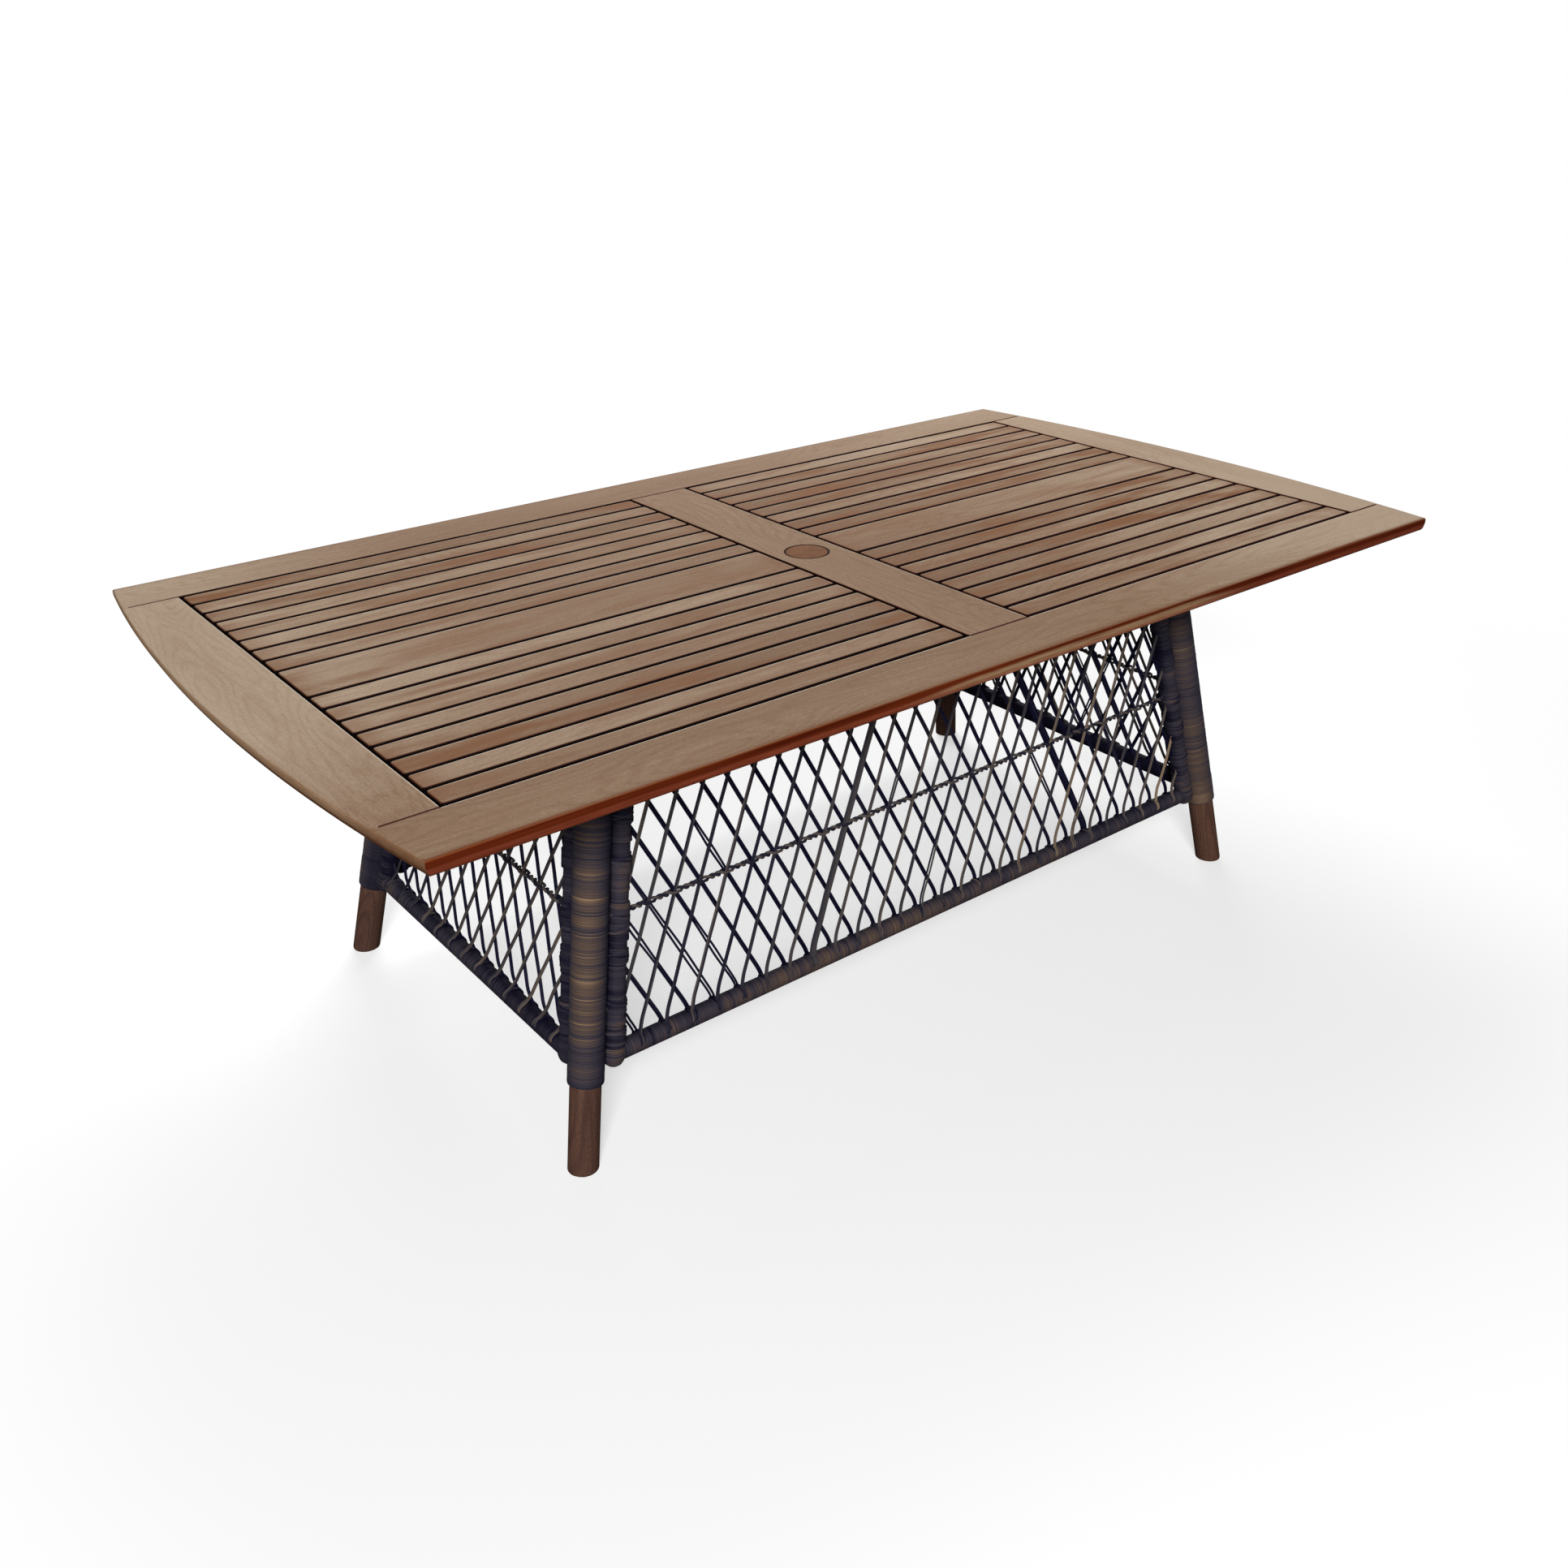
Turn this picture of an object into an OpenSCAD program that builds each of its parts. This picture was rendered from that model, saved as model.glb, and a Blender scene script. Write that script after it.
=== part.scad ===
// Outdoor dining table: slatted hardwood top on splayed, resin-wrapped legs
// with four woven lattice panels between them.
// Millimetres. Floor at z = 0, +X along the length, +Y across, +Z up.

/* [Top] */
// Overall length, from bow to bow
top_len = 2200; // [2000:10:2400]
// Overall width
top_w = 1200; // [1120:10:1280]
// Height of the top's upper face above the floor
top_h = 740; // [700:5:770]
// Thickness of the top
top_t = 25; // [20:1:32]
// How far each end bows out past its corners
bow = 48; // [30:1:60]
// Width of a long rail
long_rail_w = 112; // [90:1:130]
// Width of an end rail at its middle
end_rail_w = 124; // [110:1:150]
// Width of the centre rail
centre_rail_w = 130; // [120:1:160]
// Rounding of the upper rim
rim_upper_r = 4; // [2:0.5:6]
// Rounding of the lower rim
rim_lower_r = 8; // [4:0.5:10]

/* [Slats] */
// Narrow slats on each side of the wide board
slats_per_side = 8; // [6:1:8]
// Width of a narrow slat
slat_w = 47.5; // [40:0.5:50]
// Gap between slats
slat_gap = 5.5; // [4:0.5:8]
// Gap at the slats' ends
slat_end_gap = 6.5; // [4:0.5:10]
// Chamfer along a slat's upper edges
slat_chamfer = 1.5; // [0.5:0.5:3]

/* [Tenons] */
// Length of a tenon
tenon_len = 32; // [20:1:45]
// Thickness of a tenon
tenon_t = 9; // [6:0.5:12]
// Clearance round a tenon
tenon_clear = 0.3; // [0.2:0.05:0.5]
// Share of a rail's width that its tenon takes
tenon_share = 0.6; // [0.4:0.05:0.7]

/* [Battens] */
// Thickness of the battens and cleats under the slats
batten_t = 20; // [16:1:26]
// Width of a batten over the legs
batten_w = 112; // [100:1:130]
// Width of a cleat under the slats' ends
cleat_w = 50; // [40:1:60]
// How far the battens stop short of the long edge
batten_inset = 58; // [40:1:60]
// Cut along the lower edge of a batten's ends
batten_end_cut = 10; // [4:1:14]

/* [Umbrella hole] */
// Diameter of the hole for the umbrella pole
pole_d = 48; // [38:1:50]
// Diameter of the plug's recess
plug_recess_d = 80; // [64:1:90]
// Depth of the plug's recess
plug_recess_depth = 12; // [8:1:15]
// Clearance round the plug
plug_clear = 0.4; // [0.2:0.1:1]

/* [Legs] */
// Leg axis at the floor, from the middle of the length
foot_x = 780; // [740:5:820]
// Leg axis at the floor, from the middle of the width
foot_y = 405; // [380:5:430]
// Lean of a leg along the length, per unit of height
lean_x = 0.194; // [0.15:0.005:0.22]
// Lean of a leg across the width, per unit of height
lean_y = 0.14; // [0.1:0.005:0.16]
// Diameter of a leg over its wrap
leg_d = 57; // [54:0.5:62]
// Diameter of the leg's aluminium tube
leg_core_d = 51; // [46:0.5:52]
// Wall of the leg's tube
leg_wall = 1.5; // [1.2:0.1:2]
// Height at which the wrap ends
wrap_end_h = 140; // [110:5:150]
// Height of the plain collar at the wrap's lower end
collar_h = 57; // [30:1:80]
// How far the collar stands proud of the wrap
collar_t = 0.7; // [0.4:0.1:0.9]

/* [Feet] */
// Diameter of a wooden foot
foot_d = 50; // [46:0.5:51]
// Rounding of the foot's lower edge
foot_edge_r = 9; // [4:1:12]
// Length of the spigot inside the leg's tube
foot_spigot = 70; // [40:5:100]
// Clearance between spigot and tube
spigot_clear = 0.3; // [0.2:0.05:0.5]

/* [Panels] */
// Height of a panel's bottom tube, at its centre line
panel_low_h = 168; // [160:1:180]
// Diameter of a panel tube over its wrap
tube_d = 32; // [28:0.5:34]
// Diameter of a panel's aluminium tube
tube_core_d = 26; // [22:0.5:27]
// Wall of a panel's tube
tube_wall = 1.5; // [1.2:0.1:2]
// Gap between a panel's top tube and the battens
panel_top_gap = 11; // [8:1:30]
// Gap between a leg and the panel tube beside it
leg_panel_gap = 4.5; // [3:0.5:8]

/* [Lattice] */
// Width of a lattice diamond
diamond_w = 50; // [40:1:70]
// Diamonds between the bottom tube and the middle line
diamonds_below = 2; // [1:1:3]
// Diamonds between the middle line and the top tube
diamonds_above = 2.5; // [1.5:0.5:3.5]
// Width of a strand pair
strand_w = 8.4; // [4:0.2:10]
// Thickness of a strand
strand_t = 4; // [2:0.2:5]
// Side of each cord of the middle line
mid_cord = 4; // [3:0.5:5]
// Width of the tie round a side tube where strands reach it
tie_w = 16; // [8:1:20]
// How far ties and loops stand proud of their tube
tie_t = 1.8; // [1:0.1:2]

/* [Fasteners] */
// Leg plate, side length
plate_w = 88; // [80:1:96]
// Leg plate, thickness
plate_t = 3; // [2:0.5:4]
// Inset of the plate's screws from its edges
plate_screw_inset = 9; // [8:0.5:12]
// Shank diameter of a wood screw
screw_d = 4; // [3:0.5:4.5]
// Head diameter of a wood screw
screw_head_d = 8; // [7:0.5:9]
// Head height of a wood screw
screw_head_h = 2.4; // [2:0.1:3]
// How far a screw bites into the top
screw_bite = 14; // [10:1:16]
// How far a leg plate's screw bites into its batten
plate_screw_bite = 14; // [10:1:15]
// Clearance round a screw's shank
screw_clear = 0.3; // [0.2:0.05:0.5]
// Diameter of a stud between a panel and a leg
stud_d = 6; // [5:0.5:8]
// Outer diameter of a spacer between leg and panel
spacer_d = 12; // [10:0.5:16]

/* [Hidden] */
$fn = 64;

// Colours
WOOD = "#a58f76";
WOOD_DARK = "#8f7861";
WOOD_FOOT = "#6b4634";
WICKER = "#3c3c46";
WICKER_BROWN = "#5c4c3e";
METAL = "#b4b6b8";
STEEL = "#8a8d90";

// Seat clearance between curved faces, and overlap of a cutting tool
SEAT = 0.3;
EPS = 1;
SEAM_TURN = 120;

// Top
half_len = top_len / 2;
half_w = top_w / 2;
top_under = top_h - top_t;
bow_r = (half_w * half_w + bow * bow) / (2 * bow);
BOW_FN = 1440;
field_half_w = half_w - long_rail_w;
end_rail_in = half_len - end_rail_w;
centre_half = centre_rail_w / 2;
slat_pitch = slat_w + slat_gap;
wide_board_w = 2 * field_half_w - 2 * slats_per_side * slat_pitch - 2 * slat_gap;
slat_x0 = centre_half + slat_end_gap;
slat_x1 = end_rail_in - slat_end_gap;
slat_rows = 2 * slats_per_side + 1;
// Distance of a row's middle line from the table's middle line, row 0 at the front
function row_y(i) =
    i == slats_per_side ? 0 :
    i < slats_per_side ? -field_half_w + slat_gap + slat_w / 2 + i * slat_pitch
                       : -row_y(slat_rows - 1 - i);

// Tenons: the end rails and the centre rail enter the long rails
end_corner_w = end_rail_w - bow;
end_tenon_w = end_corner_w * tenon_share;
end_tenon_x = end_rail_in + end_corner_w / 2;
centre_tenon_w = centre_rail_w * tenon_share;
tenon_z = top_h - top_t / 2;

// Battens and cleats
batten_under = top_under - batten_t;
batten_half = half_w - batten_inset;
plate_under = batten_under - plate_t;
leg_top_x = foot_x - lean_x * plate_under;
leg_top_y = foot_y - lean_y * plate_under;
// A cleat straddles the joint that it covers, half under the slats and half under the cross rail
slat_screw_x = [centre_half + cleat_w / 4, leg_top_x, end_rail_in - cleat_w / 4];
cross_rail_screw_x = [centre_half - cleat_w / 4, end_rail_in + cleat_w / 4];
// Screws along a cross rail, as shares of its half length, and across a long rail
cross_rail_screw_at = [-0.8, -0.4, 0.4, 0.8];
long_rail_screw_y = (field_half_w + batten_half) / 2;
top_screw_len = batten_t + screw_bite;
plate_screw_len = plate_t + plate_screw_bite;

// Legs
leg_len = norm([lean_x, lean_y, 1]);
leg_tilt = acos(1 / leg_len);
leg_r = leg_d / 2;
leg_core_r = leg_core_d / 2;
// Where the tube and its wrap start, measured up the leg's axis
wrap_start = wrap_end_h * leg_len;

// Panels. Each is drawn in its own plane: x along it, z up its slope, with the bottom tube's
// centre line at z = 0, then leaned onto the plane that holds the two leg axes.
tube_r = tube_d / 2;
tube_core_r = tube_core_d / 2;
// Distance from a tube's axis at which the net ends, clear of the ties and loops
net_r = tube_r + tie_t + SEAT;
leg_panel_step = leg_r + leg_panel_gap + tube_r;
panel_high_h = batten_under - panel_top_gap - tube_r;
diamond_rows = diamonds_below + diamonds_above;
// A pair of panels is [foot distance along, across, lean along, lean across]
LONG = [foot_x, foot_y, lean_x, lean_y];
SHORT = [foot_y, foot_x, lean_y, lean_x];
// Distance between the centre lines of the bottom and top tubes, up the slope
function rise_of(p) = (panel_high_h - panel_low_h) * norm([1, p[3]]);
// How much a side tube comes in, per unit up the slope, and its lean and length
function slope_of(p) = p[2] / norm([1, p[3]]);
function side_angle(p) = atan(slope_of(p));
function side_len(p) = rise_of(p) / cos(side_angle(p));
// Half the distance between the side tubes at the bottom tube's centre line
function half_of(p) = p[0] - p[2] * panel_low_h - leg_panel_step / cos(side_angle(p));
function diamond_h(p) = (rise_of(p) - 2 * tube_r) / diamond_rows;
function mid_z(p) = tube_r + diamonds_below * diamond_h(p);
// Strands of one lean that start on the bottom tube, each side of the middle
function strand_count(p) = floor(half_of(p) / diamond_w);
// Strands beyond them that only start on a side tube
rows_beyond = floor(diamond_rows / 2) + 2;
// Studs: places as shares of a side tube's length, and reach from just inside the panel's
// tube to just inside the leg's tube, measured from the side tube's axis
stud_at = [0.15, 0.85];
stud_start = tube_core_r - tube_wall - stud_d;
stud_end = leg_panel_step - leg_core_r + leg_wall + stud_d;

module rounded_slab(len) {
    // Outline of a board's edge in section: len wide, top_t high, both outer corners rounded
    difference() {
        square([len, top_t]);
        translate([len - rim_upper_r, top_t - rim_upper_r]) difference() {
            square(rim_upper_r + EPS);
            circle(rim_upper_r);
        }
        translate([len - rim_lower_r, rim_lower_r]) difference() {
            translate([0, -rim_lower_r - EPS]) square(rim_lower_r + EPS);
            circle(rim_lower_r);
        }
    }
}

module bow_disc(side) {
    // Disc whose rounded rim is the bowed end of the top
    translate([side * (half_len - bow_r), 0, top_under])
        rotate_extrude($fn = BOW_FN) rounded_slab(bow_r);
}

module long_slab() {
    // The whole top before it is cut into rails, straight along both long edges
    translate([-half_len - EPS, 0, top_under]) rotate([90, 0, 90])
        linear_extrude(2 * half_len + 2 * EPS) {
            rounded_slab(half_w);
            mirror([1, 0]) rounded_slab(half_w);
        }
}

module tenon(x, w, grow) {
    // Tenon through both long joints, drawn as one bar that ends inside the long rails
    reach = field_half_w + tenon_len + grow;
    translate([x - w / 2 - grow, -reach, tenon_z - tenon_t / 2 - grow])
        cube([w + 2 * grow, 2 * reach, tenon_t + 2 * grow]);
}

module mortises() {
    tenon(end_tenon_x, end_tenon_w, tenon_clear);
    tenon(-end_tenon_x, end_tenon_w, tenon_clear);
    tenon(0, centre_tenon_w, tenon_clear);
}

module long_rail(side) {
    color(WOOD) difference() {
        intersection() {
            long_slab();
            bow_disc(1);
            bow_disc(-1);
            translate([-half_len - EPS, side > 0 ? field_half_w : -half_w - EPS, top_under - EPS])
                cube([top_len + 2 * EPS, long_rail_w + EPS, top_t + 2 * EPS]);
        }
        mortises();
        rail_screw_holes();
        for (half_side = [1, -1]) half(half_side)
            translate([(slat_x0 + slat_x1) / 2, side * field_half_w, 0])
                rotate(90) ease(end_rail_in - centre_half);
    }
}

module end_rail(side) {
    color(WOOD) difference() {
        union() {
            intersection() {
                bow_disc(side);
                translate([side > 0 ? end_rail_in : -half_len - EPS, -field_half_w, top_under - EPS])
                    cube([end_rail_w + EPS, 2 * field_half_w, top_t + 2 * EPS]);
            }
            tenon(side * end_tenon_x, end_tenon_w, 0);
        }
        rail_screw_holes();
        translate([side * end_rail_in, 0, 0]) ease(2 * field_half_w);
    }
}

module centre_rail() {
    color(WOOD) difference() {
        union() {
            translate([-centre_half, -field_half_w, top_under])
                cube([centre_rail_w, 2 * field_half_w, top_t]);
            tenon(0, centre_tenon_w, 0);
        }
        translate([0, 0, top_under - EPS]) cylinder(d = pole_d, h = top_t + 2 * EPS);
        translate([0, 0, top_h - plug_recess_depth])
            cylinder(d = plug_recess_d, h = plug_recess_depth + EPS);
        rail_screw_holes();
        for (side = [1, -1]) translate([side * centre_half, 0, 0]) ease(2 * field_half_w);
    }
}

module umbrella_plug() {
    // Turned disc that closes the umbrella hole, with a shallow relief below
    relief = plug_recess_depth / 4;
    color(WOOD_DARK) translate([0, 0, top_h - plug_recess_depth]) rotate_extrude() difference() {
        square([plug_recess_d / 2 - plug_clear, plug_recess_depth]);
        translate([0, -EPS]) square([pole_d / 3, relief + EPS]);
        translate([plug_recess_d / 2 - plug_clear - slat_chamfer / 2, plug_recess_depth])
            rotate(45) square(slat_chamfer, center = true);
    }
}

module ease(len) {
    // Cutter that takes the corner off an upper edge that runs along y at x = 0
    translate([0, -len / 2, top_h]) rotate([-90, 0, 0]) linear_extrude(len)
        rotate(45) square(slat_chamfer * sqrt(2), center = true);
}

module slat(w) {
    // Board along +x from slat_x0 to slat_x1, centred on y = 0
    difference() {
        translate([slat_x0, 0, top_under]) rotate([90, 0, 90]) linear_extrude(slat_x1 - slat_x0)
            polygon([
                [-w / 2, 0], [w / 2, 0],
                [w / 2, top_t - slat_chamfer], [w / 2 - slat_chamfer, top_t],
                [-w / 2 + slat_chamfer, top_t], [-w / 2, top_t - slat_chamfer]
            ]);
        for (x = [slat_x0, slat_x1]) translate([x, 0, 0]) ease(w + 2 * EPS);
    }
}

module half(side) {
    // The right half is drawn and the left half mirrored from it
    if (side > 0) children();
    else mirror([1, 0, 0]) children();
}

module slats(side) {
    color(WOOD) half(side) difference() {
        for (i = [0 : slat_rows - 1])
            if (i != slats_per_side) translate([0, row_y(i), 0]) slat(slat_w);
        at_slat_screws() screw_hole(top_screw_len);
    }
}

module wide_board(side) {
    color(WOOD) half(side) difference() {
        slat(wide_board_w);
        at_slat_screws() screw_hole(top_screw_len);
    }
}

module wood_screw(len) {
    // Pan-head screw driven upwards, its head's seat at z = 0
    cylinder(d = screw_d, h = len);
    translate([0, 0, -screw_head_h]) cylinder(d = screw_head_d, h = screw_head_h);
}

module screw_hole(len) {
    translate([0, 0, -EPS]) cylinder(d = screw_d + 2 * screw_clear, h = len + EPS + screw_clear);
}

module at_slat_screws() {
    // Right half: one screw through each bar into each slat, unless a leg plate is in the way
    for (x = slat_screw_x, i = [0 : slat_rows - 1])
        if (x != leg_top_x || abs(abs(row_y(i)) - leg_top_y) > plate_w / 2 + screw_head_d)
            translate([x, row_y(i), batten_under]) children();
}

module at_rail_screws() {
    // Right half: screws that hold each bar to the long rails, and each cleat to its cross rail
    for (x = slat_screw_x, side = [1, -1])
        translate([x, side * long_rail_screw_y, batten_under]) children();
    for (x = cross_rail_screw_x, share = cross_rail_screw_at)
        translate([x, share * field_half_w, batten_under]) children();
}

module at_plate_corners() {
    step = plate_w / 2 - plate_screw_inset;
    for (x = [-step, step], y = [-step, step]) translate([x, y, plate_under]) children();
}

module rail_screw_holes() {
    for (side = [1, -1]) half(side) at_rail_screws() screw_hole(top_screw_len);
}

module bar(side, x, w) {
    // Batten or cleat across the underside, its ends cut back below, drilled for its screws
    color(WOOD_DARK) half(side) difference() {
        translate([x - w / 2, 0, batten_under]) rotate([90, 0, 90]) linear_extrude(w) polygon([
            [-batten_half, batten_end_cut], [-batten_half + batten_end_cut, 0],
            [batten_half - batten_end_cut, 0], [batten_half, batten_end_cut],
            [batten_half, batten_t], [-batten_half, batten_t]
        ]);
        at_slat_screws() screw_hole(top_screw_len);
        at_rail_screws() screw_hole(top_screw_len);
        for (sy = [1, -1]) translate([leg_top_x, sy * leg_top_y, 0])
            at_plate_corners() screw_hole(plate_screw_len);
    }
}

module slat_screws() {
    color(STEEL) for (side = [1, -1]) half(side) {
        at_slat_screws() wood_screw(top_screw_len);
        at_rail_screws() wood_screw(top_screw_len);
    }
}

module on_leg(sx, sy) {
    // Carries a shape drawn along +z from the floor onto a leg's leaning axis. The last turn, about
    // that axis, keeps the round faces' seams clear of the studs and of the level cuts' tips.
    translate([sx * foot_x, sy * foot_y, 0])
        rotate([0, leg_tilt, atan2(-sy * lean_y, -sx * lean_x)]) rotate(SEAM_TURN) children();
}

module leg_sleeve(sx, sy, r_out, r_in, high, collar = 0) {
    // Leaning tube, square to its axis at the lower end and cut level at the top
    intersection() {
        on_leg(sx, sy) translate([0, 0, wrap_start]) difference() {
            union() {
                cylinder(r = r_out, h = top_h);
                if (collar > 0) cylinder(r = r_out + collar, h = collar_h);
            }
            translate([0, 0, -EPS]) cylinder(r = r_in, h = top_h + 2 * EPS);
        }
        translate([sx * foot_x / 2 - foot_x, sy * foot_y / 2 - foot_y, 0])
            cube([2 * foot_x, 2 * foot_y, high]);
    }
}

module leg_tube(sx, sy) {
    color(METAL) difference() {
        leg_sleeve(sx, sy, leg_core_r, leg_core_r - leg_wall, plate_under);
        leg_stud_holes(sx, sy);
    }
}

module leg_wrap(sx, sy) {
    color(WICKER) difference() {
        leg_sleeve(sx, sy, leg_r, leg_core_r + SEAT, plate_under - SEAT, collar_t);
        leg_stud_holes(sx, sy);
    }
}

module foot(sx, sy) {
    // Turned foot with a spigot up the tube, cut level where it stands. The turning runs on
    // below the floor by `drop`, so that the level cut leaves part of its rounded edge all round.
    spigot_r = leg_core_r - leg_wall - spigot_clear;
    drop = foot_d / 2 * tan(leg_tilt) + foot_edge_r / 2;
    color(WOOD_FOOT) intersection() {
        on_leg(sx, sy) rotate_extrude() {
            translate([0, foot_edge_r - drop])
                square([foot_d / 2, wrap_start - SEAT - foot_edge_r + drop]);
            translate([0, -drop]) square([foot_d / 2 - foot_edge_r, foot_edge_r]);
            translate([foot_d / 2 - foot_edge_r, foot_edge_r - drop]) intersection() {
                circle(foot_edge_r);
                translate([0, -foot_edge_r]) square(foot_edge_r);
            }
            translate([0, wrap_start - SEAT - EPS]) square([spigot_r, foot_spigot + EPS]);
        }
        translate([sx * foot_x - foot_x / 2, sy * foot_y - foot_y / 2, 0])
            cube([foot_x, foot_y, top_h]);
    }
}

module each_leg() {
    for (sx = [1, -1], sy = [1, -1]) translate([sx * leg_top_x, sy * leg_top_y, 0]) children();
}

module leg_plates() {
    color(STEEL) each_leg() difference() {
        translate([-plate_w / 2, -plate_w / 2, plate_under]) cube([plate_w, plate_w, plate_t]);
        at_plate_corners() screw_hole(plate_screw_len);
    }
}

module leg_plate_screws() {
    color(STEEL) each_leg() at_plate_corners() wood_screw(plate_screw_len);
}

module on_panel(p, turn) {
    // Leans the panel onto its plane and turns it to its side: 0 front, 90 right, 180 back, 270 left
    rotate(turn) translate([0, -(p[1] - p[3] * panel_low_h), panel_low_h])
        rotate([-atan(p[3]), 0, 0]) children();
}

module along_side(p, s) {
    // Frame at the foot of a side tube, +z up along it; s is 1 or -1
    translate([s * half_of(p), 0, 0]) rotate([0, -s * side_angle(p), 0]) children();
}

module rod(len, r) {
    cylinder(r = r, h = len);
}

module side_section(p, r) {
    // Half section of a side member, with round ends at both corners of the panel
    len = side_len(p);
    intersection() {
        translate([0, -r]) square([r, len + 2 * r]);
        union() {
            square([r, len]);
            circle(r);
            translate([0, len]) circle(r);
        }
    }
}

module side_rod(p, s, r) {
    along_side(p, s) rotate_extrude() side_section(p, r);
}

module cross_rod(p, z, r) {
    // Level member from side tube to side tube
    reach = half_of(p) - z * slope_of(p);
    translate([-reach, 0, z]) rotate([0, 90, 0]) rod(2 * reach, r);
}

module panel_sides(p, turn) {
    color(METAL) on_panel(p, turn) for (s = [1, -1]) difference() {
        along_side(p, s) difference() {
            rod(side_len(p), tube_core_r);
            translate([0, 0, -EPS]) rod(side_len(p) + 2 * EPS, tube_core_r - tube_wall);
        }
        stud_holes(p, s);
    }
}

module panel_cross(p, turn, z) {
    color(METAL) on_panel(p, turn) difference() {
        cross_rod(p, z, tube_core_r);
        cross_rod(p, z, tube_core_r - tube_wall);
        for (s = [1, -1]) along_side(p, s) translate([0, 0, -tube_d])
            rod(side_len(p) + 2 * tube_d, tube_core_r + SEAT);
    }
}

// Heights at which the strands of one lean reach the right side tube: they start at
// x = k * diamond_w on the bottom tube and move by `shift` per unit of height
function reach_heights(p, shift) =
    [for (k = [-strand_count(p) - rows_beyond : strand_count(p) + rows_beyond])
        (half_of(p) - k * diamond_w + shift * tube_r) / (shift + slope_of(p))];

// Places of the ties, measured up a side tube, clear of its ends and of its studs
function tie_places(p) =
    [for (shift = [1, -1], z = reach_heights(p, shift * diamond_w / diamond_h(p)))
        let (f = z / rise_of(p), apart = min([for (at = stud_at) abs(f - at)]) * side_len(p))
        if (z > tube_d && z < rise_of(p) - tube_d && apart > (tie_w + spacer_d) / 2 + SEAT)
            f * side_len(p)];

module turns_section(w) {
    // Half section of strands wound side by side round a tube, w wide in all
    polygon([
        [0, -w / 2], [tube_r, -w / 2], [tube_r + tie_t, (tie_t - w) / 2],
        [tube_r + tie_t, (w - tie_t) / 2], [tube_r, w / 2], [0, w / 2]
    ]);
}

module tied_side(p, s) {
    along_side(p, s) rotate_extrude() {
        side_section(p, tube_r);
        for (place = tie_places(p)) translate([0, place]) turns_section(tie_w);
    }
}

module looped_bottom(p) {
    // Bottom member, with a loop wherever a pair of strands starts from it
    translate([-half_of(p), 0, 0]) rotate([0, 90, 0]) rotate_extrude() {
        square([tube_r, 2 * half_of(p)]);
        for (k = [-strand_count(p) : strand_count(p)])
            translate([0, half_of(p) + k * diamond_w]) turns_section(strand_w);
    }
}

module panel_wrap(p, turn) {
    color(WICKER) on_panel(p, turn) {
        for (s = [1, -1]) difference() {
            tied_side(p, s);
            side_rod(p, s, tube_core_r + SEAT);
            for (z = [0, rise_of(p)]) cross_rod(p, z, tube_core_r + 2 * SEAT);
            stud_holes(p, s);
        }
        for (z = [0, rise_of(p)]) difference() {
            if (z == 0) looped_bottom(p);
            else cross_rod(p, z, tube_r);
            cross_rod(p, z, tube_core_r + SEAT);
            for (s = [1, -1]) side_rod(p, s, tube_r + SEAT);
        }
    }
}

module window(p) {
    // Opening of a panel's frame, with the seat clearance taken off
    edge = net_r / cos(side_angle(p));
    low = net_r;
    high = rise_of(p) - tube_r - SEAT;
    low_half = half_of(p) - low * slope_of(p) - edge;
    high_half = half_of(p) - high * slope_of(p) - edge;
    polygon([[-low_half, low], [low_half, low], [high_half, high], [-high_half, high]]);
}

module strands(p, lean) {
    // Parallel strands that lean to the right (1) or to the left (-1), cut to the window
    reach = norm([diamond_w, diamond_h(p)]) * (diamond_rows + 2);
    intersection() {
        window(p);
        for (k = [-strand_count(p) - rows_beyond : strand_count(p)])
            translate([lean * k * diamond_w, tube_r]) rotate(-lean * atan(diamond_w / diamond_h(p)))
                translate([-strand_w / 2, -strand_w]) square([strand_w, reach]);
    }
}

module lattice(p, turn) {
    color(WICKER) on_panel(p, turn) rotate([90, 0, 0]) {
        linear_extrude(strand_t) strands(p, 1);
        translate([0, 0, -strand_t]) linear_extrude(strand_t) strands(p, -1);
    }
}

module mid_line(p, turn) {
    // Two cords that bind the crossings at mid height, one on each face of the lattice
    reach = half_of(p) - (mid_z(p) + mid_cord / 2) * slope_of(p)
        - net_r / cos(side_angle(p));
    color(WICKER_BROWN) on_panel(p, turn) for (side = [1, -1])
        translate([-reach, side * (strand_t + mid_cord / 2) - mid_cord / 2, mid_z(p) - mid_cord / 2])
            cube([2 * reach, mid_cord, mid_cord]);
}

module at_studs(p, s) {
    // Frame of each stud: origin on the side tube's axis, +x towards the leg
    for (f = stud_at) along_side(p, s) translate([0, 0, f * side_len(p)])
        mirror([s > 0 ? 0 : 1, 0, 0]) children();
}

module stud(grow) {
    translate([stud_start - grow, 0, 0]) rotate([0, 90, 0])
        cylinder(d = stud_d + 2 * grow, h = stud_end - stud_start + 2 * grow);
}

module stud_holes(p, s) {
    at_studs(p, s) stud(SEAT);
}

module leg_stud_holes(sx, sy) {
    // Holes for the studs of the two panels that meet at this leg
    on_panel(LONG, sy > 0 ? 180 : 0) stud_holes(LONG, sy > 0 ? -sx : sx);
    on_panel(SHORT, sx > 0 ? 90 : 270) stud_holes(SHORT, sx > 0 ? sy : -sy);
}

module each_stud() {
    for (turn = [0, 180], s = [1, -1]) on_panel(LONG, turn) at_studs(LONG, s) children();
    for (turn = [90, 270], s = [1, -1]) on_panel(SHORT, turn) at_studs(SHORT, s) children();
}

module panel_studs() {
    color(STEEL) each_stud() stud(0);
}

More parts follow.
